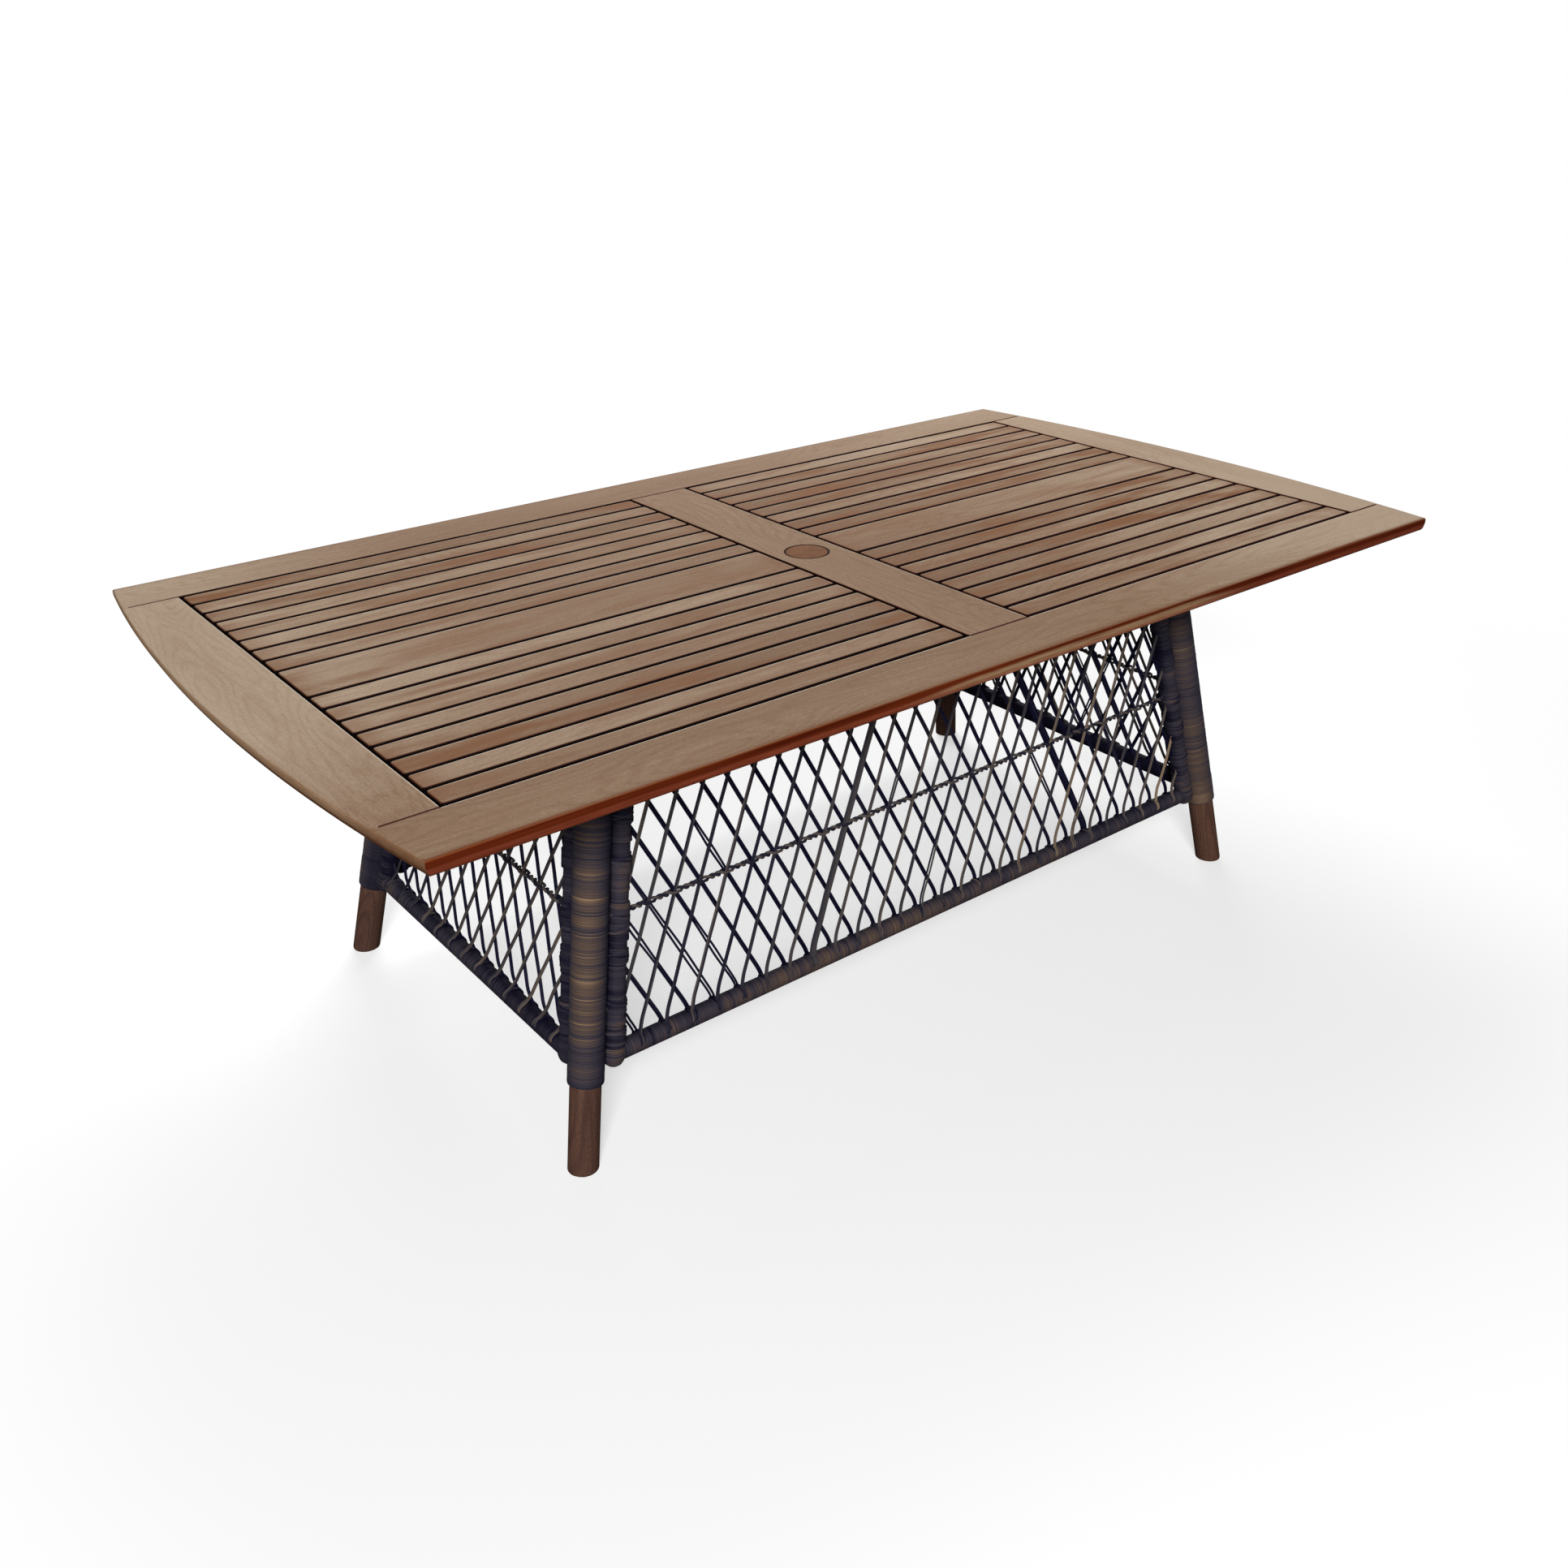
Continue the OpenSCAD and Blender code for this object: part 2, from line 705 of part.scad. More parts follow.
module panel_spacers() {
    // Rings that keep the panel clear of the leg
    color(WICKER) each_stud() translate([tube_r + SEAT, 0, 0]) rotate([0, 90, 0]) difference() {
        cylinder(d = spacer_d, h = leg_panel_gap - 2 * SEAT);
        translate([0, 0, -EPS]) cylinder(d = stud_d + 2 * SEAT, h = leg_panel_gap + 2 * EPS);
    }
}

long_rail(-1);  // front_rail
long_rail(1);  // back_rail
end_rail(-1);  // left_end_rail
end_rail(1);  // right_end_rail
centre_rail();
slats(-1);  // left_slats
slats(1);  // right_slats
wide_board(-1);  // left_wide_board
wide_board(1);  // right_wide_board
bar(-1, leg_top_x, batten_w);  // left_leg_batten
bar(1, leg_top_x, batten_w);  // right_leg_batten
bar(-1, end_rail_in, cleat_w);  // left_end_cleat
bar(1, end_rail_in, cleat_w);  // right_end_cleat
bar(-1, centre_half, cleat_w);  // left_centre_cleat
bar(1, centre_half, cleat_w);  // right_centre_cleat
slat_screws();
umbrella_plug();
leg_tube(-1, -1);  // front_left_leg_tube
leg_tube(1, -1);  // front_right_leg_tube
leg_tube(-1, 1);  // back_left_leg_tube
leg_tube(1, 1);  // back_right_leg_tube
leg_wrap(-1, -1);  // front_left_leg_wrap
leg_wrap(1, -1);  // front_right_leg_wrap
leg_wrap(-1, 1);  // back_left_leg_wrap
leg_wrap(1, 1);  // back_right_leg_wrap
foot(-1, -1);  // front_left_foot
foot(1, -1);  // front_right_foot
foot(-1, 1);  // back_left_foot
foot(1, 1);  // back_right_foot
leg_plates();
leg_plate_screws();
panel_sides(LONG, 0);  // front_panel_sides
panel_sides(LONG, 180);  // back_panel_sides
panel_sides(SHORT, 270);  // left_panel_sides
panel_sides(SHORT, 90);  // right_panel_sides
panel_cross(LONG, 0, 0);  // front_panel_bottom
panel_cross(LONG, 180, 0);  // back_panel_bottom
panel_cross(SHORT, 270, 0);  // left_panel_bottom
panel_cross(SHORT, 90, 0);  // right_panel_bottom
panel_cross(LONG, 0, rise_of(LONG));  // front_panel_top
panel_cross(LONG, 180, rise_of(LONG));  // back_panel_top
panel_cross(SHORT, 270, rise_of(SHORT));  // left_panel_top
panel_cross(SHORT, 90, rise_of(SHORT));  // right_panel_top
panel_wrap(LONG, 0);  // front_panel_wrap
panel_wrap(LONG, 180);  // back_panel_wrap
panel_wrap(SHORT, 270);  // left_panel_wrap
panel_wrap(SHORT, 90);  // right_panel_wrap
lattice(LONG, 0);  // front_lattice
lattice(LONG, 180);  // back_lattice
lattice(SHORT, 270);  // left_lattice
lattice(SHORT, 90);  // right_lattice
mid_line(LONG, 0);  // front_mid_line
mid_line(LONG, 180);  // back_mid_line
mid_line(SHORT, 270);  // left_mid_line
mid_line(SHORT, 90);  // right_mid_line
panel_studs();
panel_spacers();
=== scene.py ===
# Outdoor dining table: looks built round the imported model.
# Lengths are millimetres in the helpers and metres in the meshes.
import math

import bpy
import numpy as np
from mathutils import Matrix, Vector


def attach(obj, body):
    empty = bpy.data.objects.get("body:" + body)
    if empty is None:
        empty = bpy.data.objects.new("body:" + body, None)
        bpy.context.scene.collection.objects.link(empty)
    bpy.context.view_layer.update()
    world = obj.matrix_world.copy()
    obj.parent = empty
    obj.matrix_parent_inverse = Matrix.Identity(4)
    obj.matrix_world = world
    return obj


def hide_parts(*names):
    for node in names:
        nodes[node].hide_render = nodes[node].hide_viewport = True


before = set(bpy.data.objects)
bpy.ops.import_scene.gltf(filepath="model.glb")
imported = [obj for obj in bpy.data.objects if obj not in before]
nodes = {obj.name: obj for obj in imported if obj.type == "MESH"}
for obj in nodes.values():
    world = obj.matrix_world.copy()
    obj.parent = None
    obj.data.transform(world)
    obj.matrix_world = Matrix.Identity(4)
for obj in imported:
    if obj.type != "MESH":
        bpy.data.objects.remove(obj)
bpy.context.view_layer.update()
MM = 0.001

# Sizes repeated from the part's source, but for the slats' ends, up to 1 mm nearer the rails
HALF_LEN, HALF_W, TOP_H, TOP_T = 1100.0, 600.0, 740.0, 25.0
BOW_R = 3774.0
FIELD_W, END_IN, CENTRE_HALF = 488.0, 976.0, 65.0
SLAT_W, SLAT_GAP, WIDE_W, SLATS_A_SIDE = 47.5, 5.5, 117.0, 8
SLAT_X0, SLAT_X1 = 71.0, 970.5
RECESS_R, RECESS_DEEP, BORE_R, PLUG_R = 40.0, 12.0, 24.0, 39.6
LEG_R, LEG_IN, FOOT_R, FOOT_EDGE = 28.5, 25.8, 25.0, 9.0
SPIGOT_R, SPIGOT_LEN = 23.7, 70.0
FOOT_X, FOOT_Y, LEAN_X, LEAN_Y = 780.0, 405.0, 0.194, 0.14
LONG, SHORT = (FOOT_X, FOOT_Y, LEAN_X, LEAN_Y), (FOOT_Y, FOOT_X, LEAN_Y, LEAN_X)
TUBE_R, TUBE_IN = 16.0, 13.3
PANEL_LOW, PANEL_HIGH, STAND_OFF = 168.0, 668.0, 49.0
DIAMOND, ROWS_BELOW, ROWS = 50.0, 2.0, 4.5
# The wrap's start along the leg, its height at the top, and its collar's length
WRAP_START, WRAP_TOP, COLLAR = 143.95, 691.7, 57.0
# The strands' radius by lean, how far each layer stands off the net's middle, and the mid cords
STRAND_R, LAYER = {1: 1.75, -1: 2.0}, 2.0
MID_R, MID_OUT = 2.5, 6.5
# Directions of the axes
ALONG, ACROSS, ABOVE = np.eye(3)


# Meshes
def circle(sides):
    t = np.linspace(0, 2 * math.pi, sides, endpoint=False)
    return np.cos(t), np.sin(t)


def spokes(sides, across, over):
    """Directions all round a tube, at one place or at each place of a path."""
    cos, sin = circle(sides)
    return cos[:, None] * across[..., None, :] + sin[:, None] * over[..., None, :]


def together(*values):
    """Points whose coordinates are the values, each a number or an array."""
    return np.stack(np.broadcast_arrays(*values), -1)


def add_object(name, data):
    made = bpy.data.objects.new(name, data)
    bpy.context.scene.collection.objects.link(made)
    return made


class Shape:
    """Points and faces of one piece, gathered part by part."""

    def __init__(self):
        self.points, self.tone, self.gap, self.grain = [], [], [], []
        self.corners, self.sizes, self.smooth = [], [], []
        self.count = 0

    def face(self, corners, smooth=False):
        """Faces with these corners, one row each. Smooth ones are shaded round."""
        self.corners.append(corners.ravel())
        self.sizes.append(np.full(len(corners), corners.shape[1]))
        self.smooth.append(np.full(len(corners), smooth))

    def loft(self, rings, cyclic=False, ends=True, inward=False, tone=0.0, gap=0.0, grain=None):
        """Joins rings of points, closed by flat ends or, if cyclic, back to the first ring.

        tone and gap are one number, one for each ring or one for each point.
        """
        rings = np.asarray(rings, float)
        count, sides = rings.shape[:2]
        total = count * sides
        index = self.count + np.arange(total).reshape(count, sides)
        lower = index if cyclic else index[:-1]
        upper = np.roll(index, -1, 0) if cyclic else index[1:]
        quads = np.stack([lower, np.roll(lower, -1, 1), np.roll(upper, -1, 1), upper], -1)
        turn = -1 if inward else 1
        self.face(quads.reshape(-1, 4)[:, ::turn], True)
        if ends and not cyclic:
            self.face(index[:1, ::-turn])
            self.face(index[-1:, ::turn])
        for gathered, value in ((self.tone, tone), (self.gap, gap)):
            value = np.repeat(value, sides) if np.ndim(value) == 1 else np.ravel(value)
            gathered.append(np.broadcast_to(value, total))
        self.points.append(rings.reshape(-1, 3))
        self.grain.append(MM * np.reshape(rings if grain is None else grain, (-1, 3)))
        self.count += total
        return index

    def build(self, name, material, slot, *replaces, body="table", sharp=75.0):
        """Makes the object, in metres, and hangs it on its body."""
        mesh = bpy.data.meshes.new(name)
        points = np.concatenate(self.points) * MM
        corners, sizes = np.concatenate(self.corners), np.concatenate(self.sizes)
        mesh.vertices.add(len(points))
        mesh.vertices.foreach_set("co", points.ravel().astype(np.float32))
        mesh.loops.add(len(corners))
        mesh.loops.foreach_set("vertex_index", corners.astype(np.int32))
        mesh.polygons.add(len(sizes))
        starts = np.concatenate([[0], np.cumsum(sizes)[:-1]])
        mesh.polygons.foreach_set("loop_start", starts.astype(np.int32))
        mesh.polygons.foreach_set("use_smooth", np.concatenate(self.smooth))
        mesh.update(calc_edges=True)
        mesh.set_sharp_from_angle(angle=math.radians(sharp))
        for title, kind, key, values in (
            ("tone", "FLOAT", "value", self.tone),
            ("gap", "FLOAT", "value", self.gap),
            ("grain", "FLOAT_VECTOR", "vector", self.grain),
        ):
            data = mesh.attributes.new(title, kind, "POINT").data
            data.foreach_set(key, np.concatenate(values).ravel().astype(np.float32))
        mesh.materials.append(material)
        piece = add_object(name, mesh)
        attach(piece, body)
        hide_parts(*replaces)


# Materials
def srgb(r, g, b):
    """Linear colour of an sRGB colour written in 0 to 255."""
    line = [v / 255 / 12.92 if v <= 10 else ((v / 255 + 0.055) / 1.055) ** 2.4 for v in (r, g, b)]
    return (*line, 1.0)


class Graph:
    """Nodes of a material or the world. A colour of three numbers is sRGB in 0 to 255."""

    def __init__(self, owner, kind="Material"):
        self.owner = owner
        owner.use_nodes = True
        self.tree = owner.node_tree
        self.tree.nodes.clear()
        self.output = self.node("Output" + kind).inputs["Surface"]

    def node(self, kind, **settings):
        made = self.tree.nodes.new("ShaderNode" + kind)
        for key, value in settings.items():
            setattr(made, key, value)
        return made

    def put(self, socket, value):
        if isinstance(value, bpy.types.NodeSocket):
            self.tree.links.new(value, socket)
        elif socket.type == "RGBA" and len(value) == 3:
            socket.default_value = srgb(*value)
        else:
            socket.default_value = value

    def fill(self, made, *values):
        """Puts values into a node's first sockets and gives its first output."""
        for socket, value in zip(made.inputs, values):
            self.put(socket, value)
        return made.outputs[0]

    def attribute(self, name, output="Fac"):
        return self.node("Attribute", attribute_name=name).outputs[output]

    def object_place(self):
        return self.node("TexCoord").outputs["Object"]

    def split(self, vector):
        made = self.node("SeparateXYZ")
        self.fill(made, vector)
        return made.outputs

    def maths(self, operation, a, b=0.0, clamp=False):
        return self.fill(self.node("Math", operation=operation, use_clamp=clamp), a, b)

    def times(self, a, b):
        return self.maths("MULTIPLY", a, b)

    def plus(self, a, b):
        return self.maths("ADD", a, b)

    def less(self, a, b):
        return self.maths("SUBTRACT", a, b)

    def absolute(self, value):
        return self.maths("ABSOLUTE", value)

    def sum(self, base, *terms):
        """base plus each (value, weight) whose value is centred on 0.5"""
        for value, weight in terms:
            base = self.plus(base, self.times(self.less(value, 0.5), weight))
        return base

    def noise(self, vector, scale, detail=2.0, rough=0.5):
        spread = self.node("Mapping")
        spread.inputs["Scale"].default_value = scale
        made = self.node("TexNoise")
        self.put(made.inputs["Vector"], self.fill(spread, vector))
        made.inputs["Scale"].default_value = 1.0
        made.inputs["Detail"].default_value = detail
        made.inputs["Roughness"].default_value = rough
        return made.outputs["Fac"]

    def mix(self, factor, a, b):
        made = self.node("Mix", data_type="RGBA")
        for place, value in ((0, factor), (6, a), (7, b)):
            self.put(made.inputs[place], value)
        return made.outputs[2]

    def span(self, value, low, high, to_low=0.0, to_high=1.0):
        made = self.node("MapRange", interpolation_type="SMOOTHSTEP")
        return self.fill(made, value, low, high, to_low, to_high)

    def ramp(self, factor, *stops):
        made = self.node("ValToRGB")
        line = made.color_ramp.elements
        while len(line) < len(stops):
            line.new(0.5)
        for element, (place, colour) in zip(line, stops):
            element.position, element.color = place, srgb(*colour)
        return self.fill(made, factor)

    def mix_shaders(self, factor, a, b):
        """Ends the graph in a mix of two shaders."""
        self.put(self.output, self.fill(self.node("MixShader"), factor, a, b))


class Surface(Graph):
    """A material with one Principled shader."""

    def __init__(self, name):
        super().__init__(bpy.data.materials.new(name))
        self.shader = self.node("BsdfPrincipled")
        self.put(self.output, self.shader.outputs["BSDF"])

    def bump(self, height, distance, strength):
        made = self.node("Bump")
        made.inputs["Strength"].default_value = strength
        made.inputs["Distance"].default_value = distance
        self.put(made.inputs["Height"], height)
        self.put(self.shader.inputs["Normal"], made.outputs[0])

    def finish(self, colour, rough, specular):
        self.put(self.shader.inputs["Base Color"], colour)
        self.put(self.shader.inputs["Roughness"], rough)
        self.shader.inputs["Specular IOR Level"].default_value = specular
        return self.owner


def stretched(axis, along, across):
    """Noise scale with `along` on the grain's axis and `across` on the other two."""
    return tuple(along if i == axis else across for i in range(3))


def wood(name, dark, mid, light, axis=0, drawn=True, rings=0.1, top=False):
    """Oiled hardwood. drawn reads the piece's own grain, else the object's place. top adds painted light
    at the table's ends, painted highlights on the boards' edges and painted shade in the gaps.
    """
    g = Surface(name)
    place = g.attribute("grain", "Vector") if drawn else g.object_place()
    sway = g.noise(place, stretched(axis, 1.3, 8), 1)
    off = g.node("CombineXYZ")
    for i in range(3):
        if i != axis:
            g.put(off.inputs[i], g.times(g.less(sway, 0.5), 0.03))
    flow = g.fill(g.node("VectorMath", operation="ADD"), place, off.outputs[0])
    fibre, streak, broad, field, fleck, fine = (
        g.noise(flow, stretched(axis, along, across), detail, rough)
        for along, across, detail, rough in (
            (16, 560, 4, 0.6),
            (2.4, 105, 3, 0.55),
            (1.8, 13, 2, 0.5),
            (1.3, 7, 1.5, 0.45),
            (170, 460, 3, 0.7),
            (75, 1500, 2, 0.6),
        )
    )
    wave = g.maths("SINE", g.times(field, 230))
    line = g.maths("POWER", g.plus(g.times(wave, 0.5), 0.5), 3)
    level = g.sum(0.5, (fibre, 0.3), (fleck, 0.45), (streak, 0.16), (broad, 0.22))
    level = g.less(level, g.times(line, rings))
    if drawn:
        level = g.plus(level, g.times(g.attribute("tone"), 0.2))
    if top:
        x, y, _ = g.split(g.object_place())
        # Painted light: the top gets paler at its ends, the left end towards the back and the right end
        # towards the front.
        left = g.times(g.span(x, -0.45, -1.1), g.span(y, -0.6, -0.1, -0.04, 0.3))
        right = g.times(g.span(x, 0.1, 1.05), g.span(y, 0.2, -0.6, 0.22, 0.5))
        level = g.plus(level, g.plus(left, right))
    colour = g.ramp(level, (0.1, dark), (0.5, mid), (0.9, light))
    pores = g.span(fine, 0.6, 0.7)
    colour = g.mix(g.times(pores, 0.4), colour, dark)
    if top:
        # Painted highlight: a tone above 1 makes the boards' back-facing upper edges pale.
        colour = g.mix(g.span(g.attribute("tone"), 1, 3), colour, (208, 193, 174))
        colour = board_stains(g, colour, place)
        colour = edge_colours(g, colour, fibre, streak)
    elif drawn:
        # Painted shade from the gap value, as in the dark ring round the plug.
        painted_gap_shade = g.maths("MULTIPLY", g.attribute("gap"), 1, True)
        colour = g.mix(painted_gap_shade, colour, (34, 18, 12))
    rough_at = g.plus(0.5, g.times(fibre, 0.2))
    g.bump(g.sum(fibre, (pores, -0.5)), 0.00025, 0.6)
    return g.finish(colour, rough_at, 0.03)


def board_stains(g, colour, place):
    """Warm brown patches in the boards, most of them near the ends of the slats."""
    x, y, _ = g.split(g.object_place())
    away, across = g.absolute(x), g.absolute(y)
    patch = g.noise(place, (4.5, 30, 30), 2, 0.55)
    field = g.times(g.span(across, 0.4882, 0.4878), g.span(away, 0.9758, 0.9754))
    field = g.times(field, g.span(away, 0.0655, 0.066))
    reddish = g.span(g.attribute("tone"), 0.1, -0.6, 0.4, 0.9)
    warm = g.times(g.span(patch, 0.42, 0.68), g.plus(0.08, g.times(field, reddish)))
    ends = g.maths("MAXIMUM", g.span(away, 0.905, 0.972), g.span(away, 0.125, 0.066))
    ends = g.times(g.times(ends, field), g.span(patch, 0.3, 0.6, 0.2, 0.7))
    return g.mix(g.maths("MAXIMUM", warm, ends), colour, (130, 88, 58))


def edge_colours(g, colour, fibre, streak):
    """Sides of the boards, and painted shade in the gaps. The gap value is above 0 in the gaps and below
    0 on the outer rim.
    """
    x, y, z = g.split(g.object_place())
    _, ny, nz = g.split(g.node("NewGeometry").outputs["Normal"])
    value = g.attribute("gap")
    # Painted shade in the gaps between boards, stronger and redder towards the right of the table.
    deep = g.maths("MULTIPLY", value, g.span(x, -0.6, 0.5, 1, 1.9), True)
    rim = g.maths("MULTIPLY", value, -1, True)
    shadow = g.ramp(deep, (0, (112, 72, 48)), (0.45, (60, 28, 18)), (0.8, (10, 6, 7)))
    redder = g.ramp(deep, (0, (130, 78, 50)), (0.5, (84, 38, 24)), (0.9, (36, 15, 13)))
    shadow = g.mix(g.span(x, -0.3, 0.6, 0, 0.8), shadow, redder)
    colour = g.mix(g.span(deep, 0, 0.35), colour, shadow)
    # Browner along the long rims' upper edges, fading onto the top.
    near_front = g.span(g.absolute(y), 0.585, 0.596)
    front_edge_brown = g.times(g.times(rim, g.span(streak, 0.35, 0.6, 0.3, 0.95)), near_front)
    colour = g.mix(front_edge_brown, colour, (112, 62, 36))
    side = g.times(g.span(g.absolute(nz), 0.9, 0.6), g.span(rim, 0.3, 0.6))
    height = g.maths("DIVIDE", g.less(z, (TOP_H - TOP_T) * MM), TOP_T * MM)
    up = g.sum(height, (streak, 0.3))
    middle = g.span(g.absolute(g.less(x, 0.1)), 0.2, 0.45, 1, 0)
    both = g.sum(0.5, (streak, 0.8), (fibre, 0.8))
    red = g.ramp(both, (0.2, (104, 42, 26)), (0.8, (158, 80, 54)))
    salmon = g.ramp(fibre, (0.35, (150, 92, 66)), (0.65, (188, 130, 100)))
    tan = g.ramp(fibre, (0.35, (146, 110, 78)), (0.65, (192, 160, 122)))
    plain = g.mix(g.span(up, 0.3, 0.42), salmon, tan)
    lower = g.mix(g.times(middle, 0.85), red, plain)
    # The long rims' faces: red near the corners and salmon to tan in the middle, under a dark upper band
    # that is painted shade; the paler lower part is partly painted light from below.
    shade_band = g.ramp(streak, (0.3, (70, 20, 7)), (0.7, (114, 46, 20)))
    start = g.span(middle, 0, 1, 0.52, 0.72)
    rim_colour_and_shade = g.mix(g.span(g.less(up, start), -0.12, 0.12), lower, shade_band)
    rim_colour_and_shade = g.mix(g.span(height, 0.88, 0.98), rim_colour_and_shade, (140, 78, 44))
    # The bowed ends' sides: pale, darker towards the bottom, with painted shade deepening towards the
    # front corner.
    pale = g.ramp(both, (0.2, (144, 108, 78)), (0.8, (186, 154, 122)))
    pale = g.mix(g.span(up, 0.55, 0.2), pale, (112, 66, 40))
    pale = g.mix(g.span(y, -0.3, -0.58, 0, 0.7), pale, (118, 76, 50))
    return g.mix(side, colour, g.mix(g.span(g.absolute(ny), 0.3, 0.75), pale, rim_colour_and_shade))


def wicker(name, navy, grey, brown, tan):
    """Flat resin strand, its colour picked turn by turn through the tone."""
    g = Surface(name)
    place = g.attribute("grain", "Vector")
    along = g.noise(place, (26, 900, 900), 3, 0.6)
    patch = g.noise(place, (9, 60, 60), 2, 0.5)
    level = g.sum(g.attribute("tone"), (along, 0.3), (patch, 0.3))
    colour = g.ramp(level, (0.05, navy), (0.35, grey), (0.65, brown), (1, tan))
    # Painted shade from the gap value: dark in the grooves between turns and inside the wraps' ends.
    colour = g.mix(g.times(g.attribute("gap"), 0.65), colour, (14, 11, 16))
    g.bump(along, 0.0002, 0.5)
    return g.finish(colour, g.plus(0.4, g.times(patch, 0.2)), 0.04)


def plain(name, colour, rough, metallic):
    """Metal or rubber with faint scratches and spots."""
    g = Surface(name)
    place = g.object_place()
    scratches = g.noise(place, (240, 240, 12), 3, 0.6)
    spots = g.noise(place, (22, 22, 22), 3, 0.6)
    level = g.sum(0.5, (scratches, 0.6), (spots, 0.6))
    shade = g.ramp(level, (0.2, [v * 0.82 for v in colour]), (0.8, colour))
    g.shader.inputs["Metallic"].default_value = metallic
    g.bump(scratches, 0.00005, 0.4)
    return g.finish(shade, g.plus(rough, g.times(spots, 0.15)), 0.5)


TOP_WOOD = wood("top_wood", (104, 74, 50), (147, 119, 95), (188, 166, 143), rings=0.07, top=True)
PLUG_WOOD = wood("plug_wood", (82, 46, 23), (116, 74, 43), (150, 104, 66))
FOOT_WOOD = wood("foot_wood", (54, 34, 28), (92, 66, 57), (140, 98, 72), rings=0.12)
BATTEN_WOOD = wood("batten_wood", (96, 70, 50), (138, 108, 82), (170, 140, 110), axis=1, drawn=False)
WRAP = wicker("resin_wrap", (26, 24, 42), (66, 62, 74), (106, 87, 76), (168, 138, 108))
STRAND_DARK = wicker("resin_strand_dark", (18, 18, 42), (32, 32, 54), (58, 54, 62), (96, 84, 76))
STRAND_BROWN = wicker("resin_strand_brown", (34, 34, 50), (70, 66, 70), (104, 92, 84), (150, 128, 104))
ALUMINIUM = plain("aluminium_tube", (176, 178, 182), 0.35, 1)
STEEL = plain("steel", (150, 152, 156), 0.38, 1)
RUBBER = plain("spacer_rubber", (44, 44, 48), 0.7, 0)


# The top's boards. A rim is a long side of the table and a bow an end. Eased and tight edges face a
# gap, and a butt meets another board. Rounding of each upper edge, then how far in the flat begins
EASE = {"rim": 4.0, "bow": 4.0, "eased": 2.4, "tight": 1.4}
FLAT_IN = {"rim": 10.0, "bow": 4.0, "eased": 1.5, "tight": 1.5, "butt": 2.5}
# Rounding below the rim, the bowed ends' undercut and its height, and their lower edge
RIM_LOW, UNDERCUT, UNDERCUT_H, BOW_LOW = 8.0, 7.0, 15.0, 1.2
# Ease of the other edges, and rounding of a slat's corners in plan
SMALL_EASE, SLAT_CORNER = 0.8, 4.5
# Heights of the loops up a board's side
LEVELS = (0, 0.3, 1.2, 2.8, 5.1, 8, 15, 21, 22.4, 23.4, 24.0, 24.4, 24.7, 24.9, 25)
# Where the upper edge begins, how bright its painted highlight may be, and the cosine of a corner's least
# turn
EDGE_H, PAINTED_HIGHLIGHT, CORNER = 24.3, 3.0, 0.995
# Distance from a corner to the point that keeps the flat's outline straight
NEAR_JOINT, NEAR_BOW = 5.0, 12.0
# How much painted shade an inner edge gets in a gap at each level, from 0 to 1, by the way it faces
GAP_SHADE_HEIGHTS = (0, 0.3, 1.2, 21, 22.4, 23.4, 24.0, 24.4, 24.7, 24.9, 25)
GAP_SHADE_FRONT = (0, 0, 1, 1, 1, 1, 0.9, 0.6, 0.45, 0.33, 0.22)
GAP_SHADE_LEFT = (0, 0, 1, 0.9, 0.7, 0.5, 0.36, 0.26, 0.2, 0.15, 0.1)
GAP_SHADE_BACK = (0, 0, 1, 1, 0.95, 0.75, 0.3, 0.1, 0, 0, 0)
# Sides of a turned form, then lines (radius, height, painted shade) of the umbrella hole and its plug
TURNED = 96
HOLE = [
    (42.6, 25, 0), (41.8, 24.98, 0.3), (41.0, 24.87, 0.8), (40.4, 24.5, 1), (40.1, 24.0, 1),
    (RECESS_R, 23.5, 1), (RECESS_R, 13, 1), (24.9, 13, 1), (24.2, 12.7, 0.6), (BORE_R, 12, 0.3),
    (BORE_R, 0.8, 0), (24.8, 0, 0),
]
PLUG = [
    (0.8, 3, 0), (15.6, 3, 0), (16, 2.6, 0), (16, 0.3, 0), (16.3, 0, 0), (38.8, 0, 0), (39.4, 0.4, 1),
    (PLUG_R, 1.2, 1), (PLUG_R, 10.4, 1), (39.3, 11.2, 1), (38.7, 11.7, 0.8), (38.0, 11.93, 0.3),
    (37.2, 12, 0), (20, 12, 0), (0.8, 12, 0),
]


def inset(kind, h):
    """How far a board's edge stands in, h above its underside."""
    if kind == "butt":
        return max(0.0, h - TOP_T + SMALL_EASE)
    low = max(0.0, SMALL_EASE - h)
    if kind == "rim":
        low = RIM_LOW - math.sqrt(RIM_LOW**2 - max(RIM_LOW - h, 0.0) ** 2)
    elif kind == "bow":
        low = max(0.0, UNDERCUT * (1 - h / UNDERCUT_H)) + max(0.0, BOW_LOW - h)
    ease = EASE[kind]
    above = max(h - TOP_T + ease, 0.0)
    return low + ease - math.sqrt(max(ease**2 - above**2, 0.0))


def depth(kind, h, facing):
    """Above 0 in a gap, by how much painted shade it gets there, and below 0 on the table's outer sides.
    """
    if kind in ("rim", "bow"):
        return 0.0 if h == 0 else -0.6 if h == TOP_T else -1.0
    if kind == "butt":
        return 0.0 if h < 1 else 0.9 if h < EDGE_H else 0.45
    table = GAP_SHADE_FRONT if facing[1] < -0.5 else GAP_SHADE_LEFT if facing[0] < -0.5 else GAP_SHADE_BACK
    return float(np.interp(h, GAP_SHADE_HEIGHTS, table))


def catches_light(kind, h, facing):
    """1 on the upper edges that face away from the front, where a painted highlight shows as a pale line.
    """
    return float(kind in ("eased", "tight") and h > EDGE_H and max(facing) > 0.5)


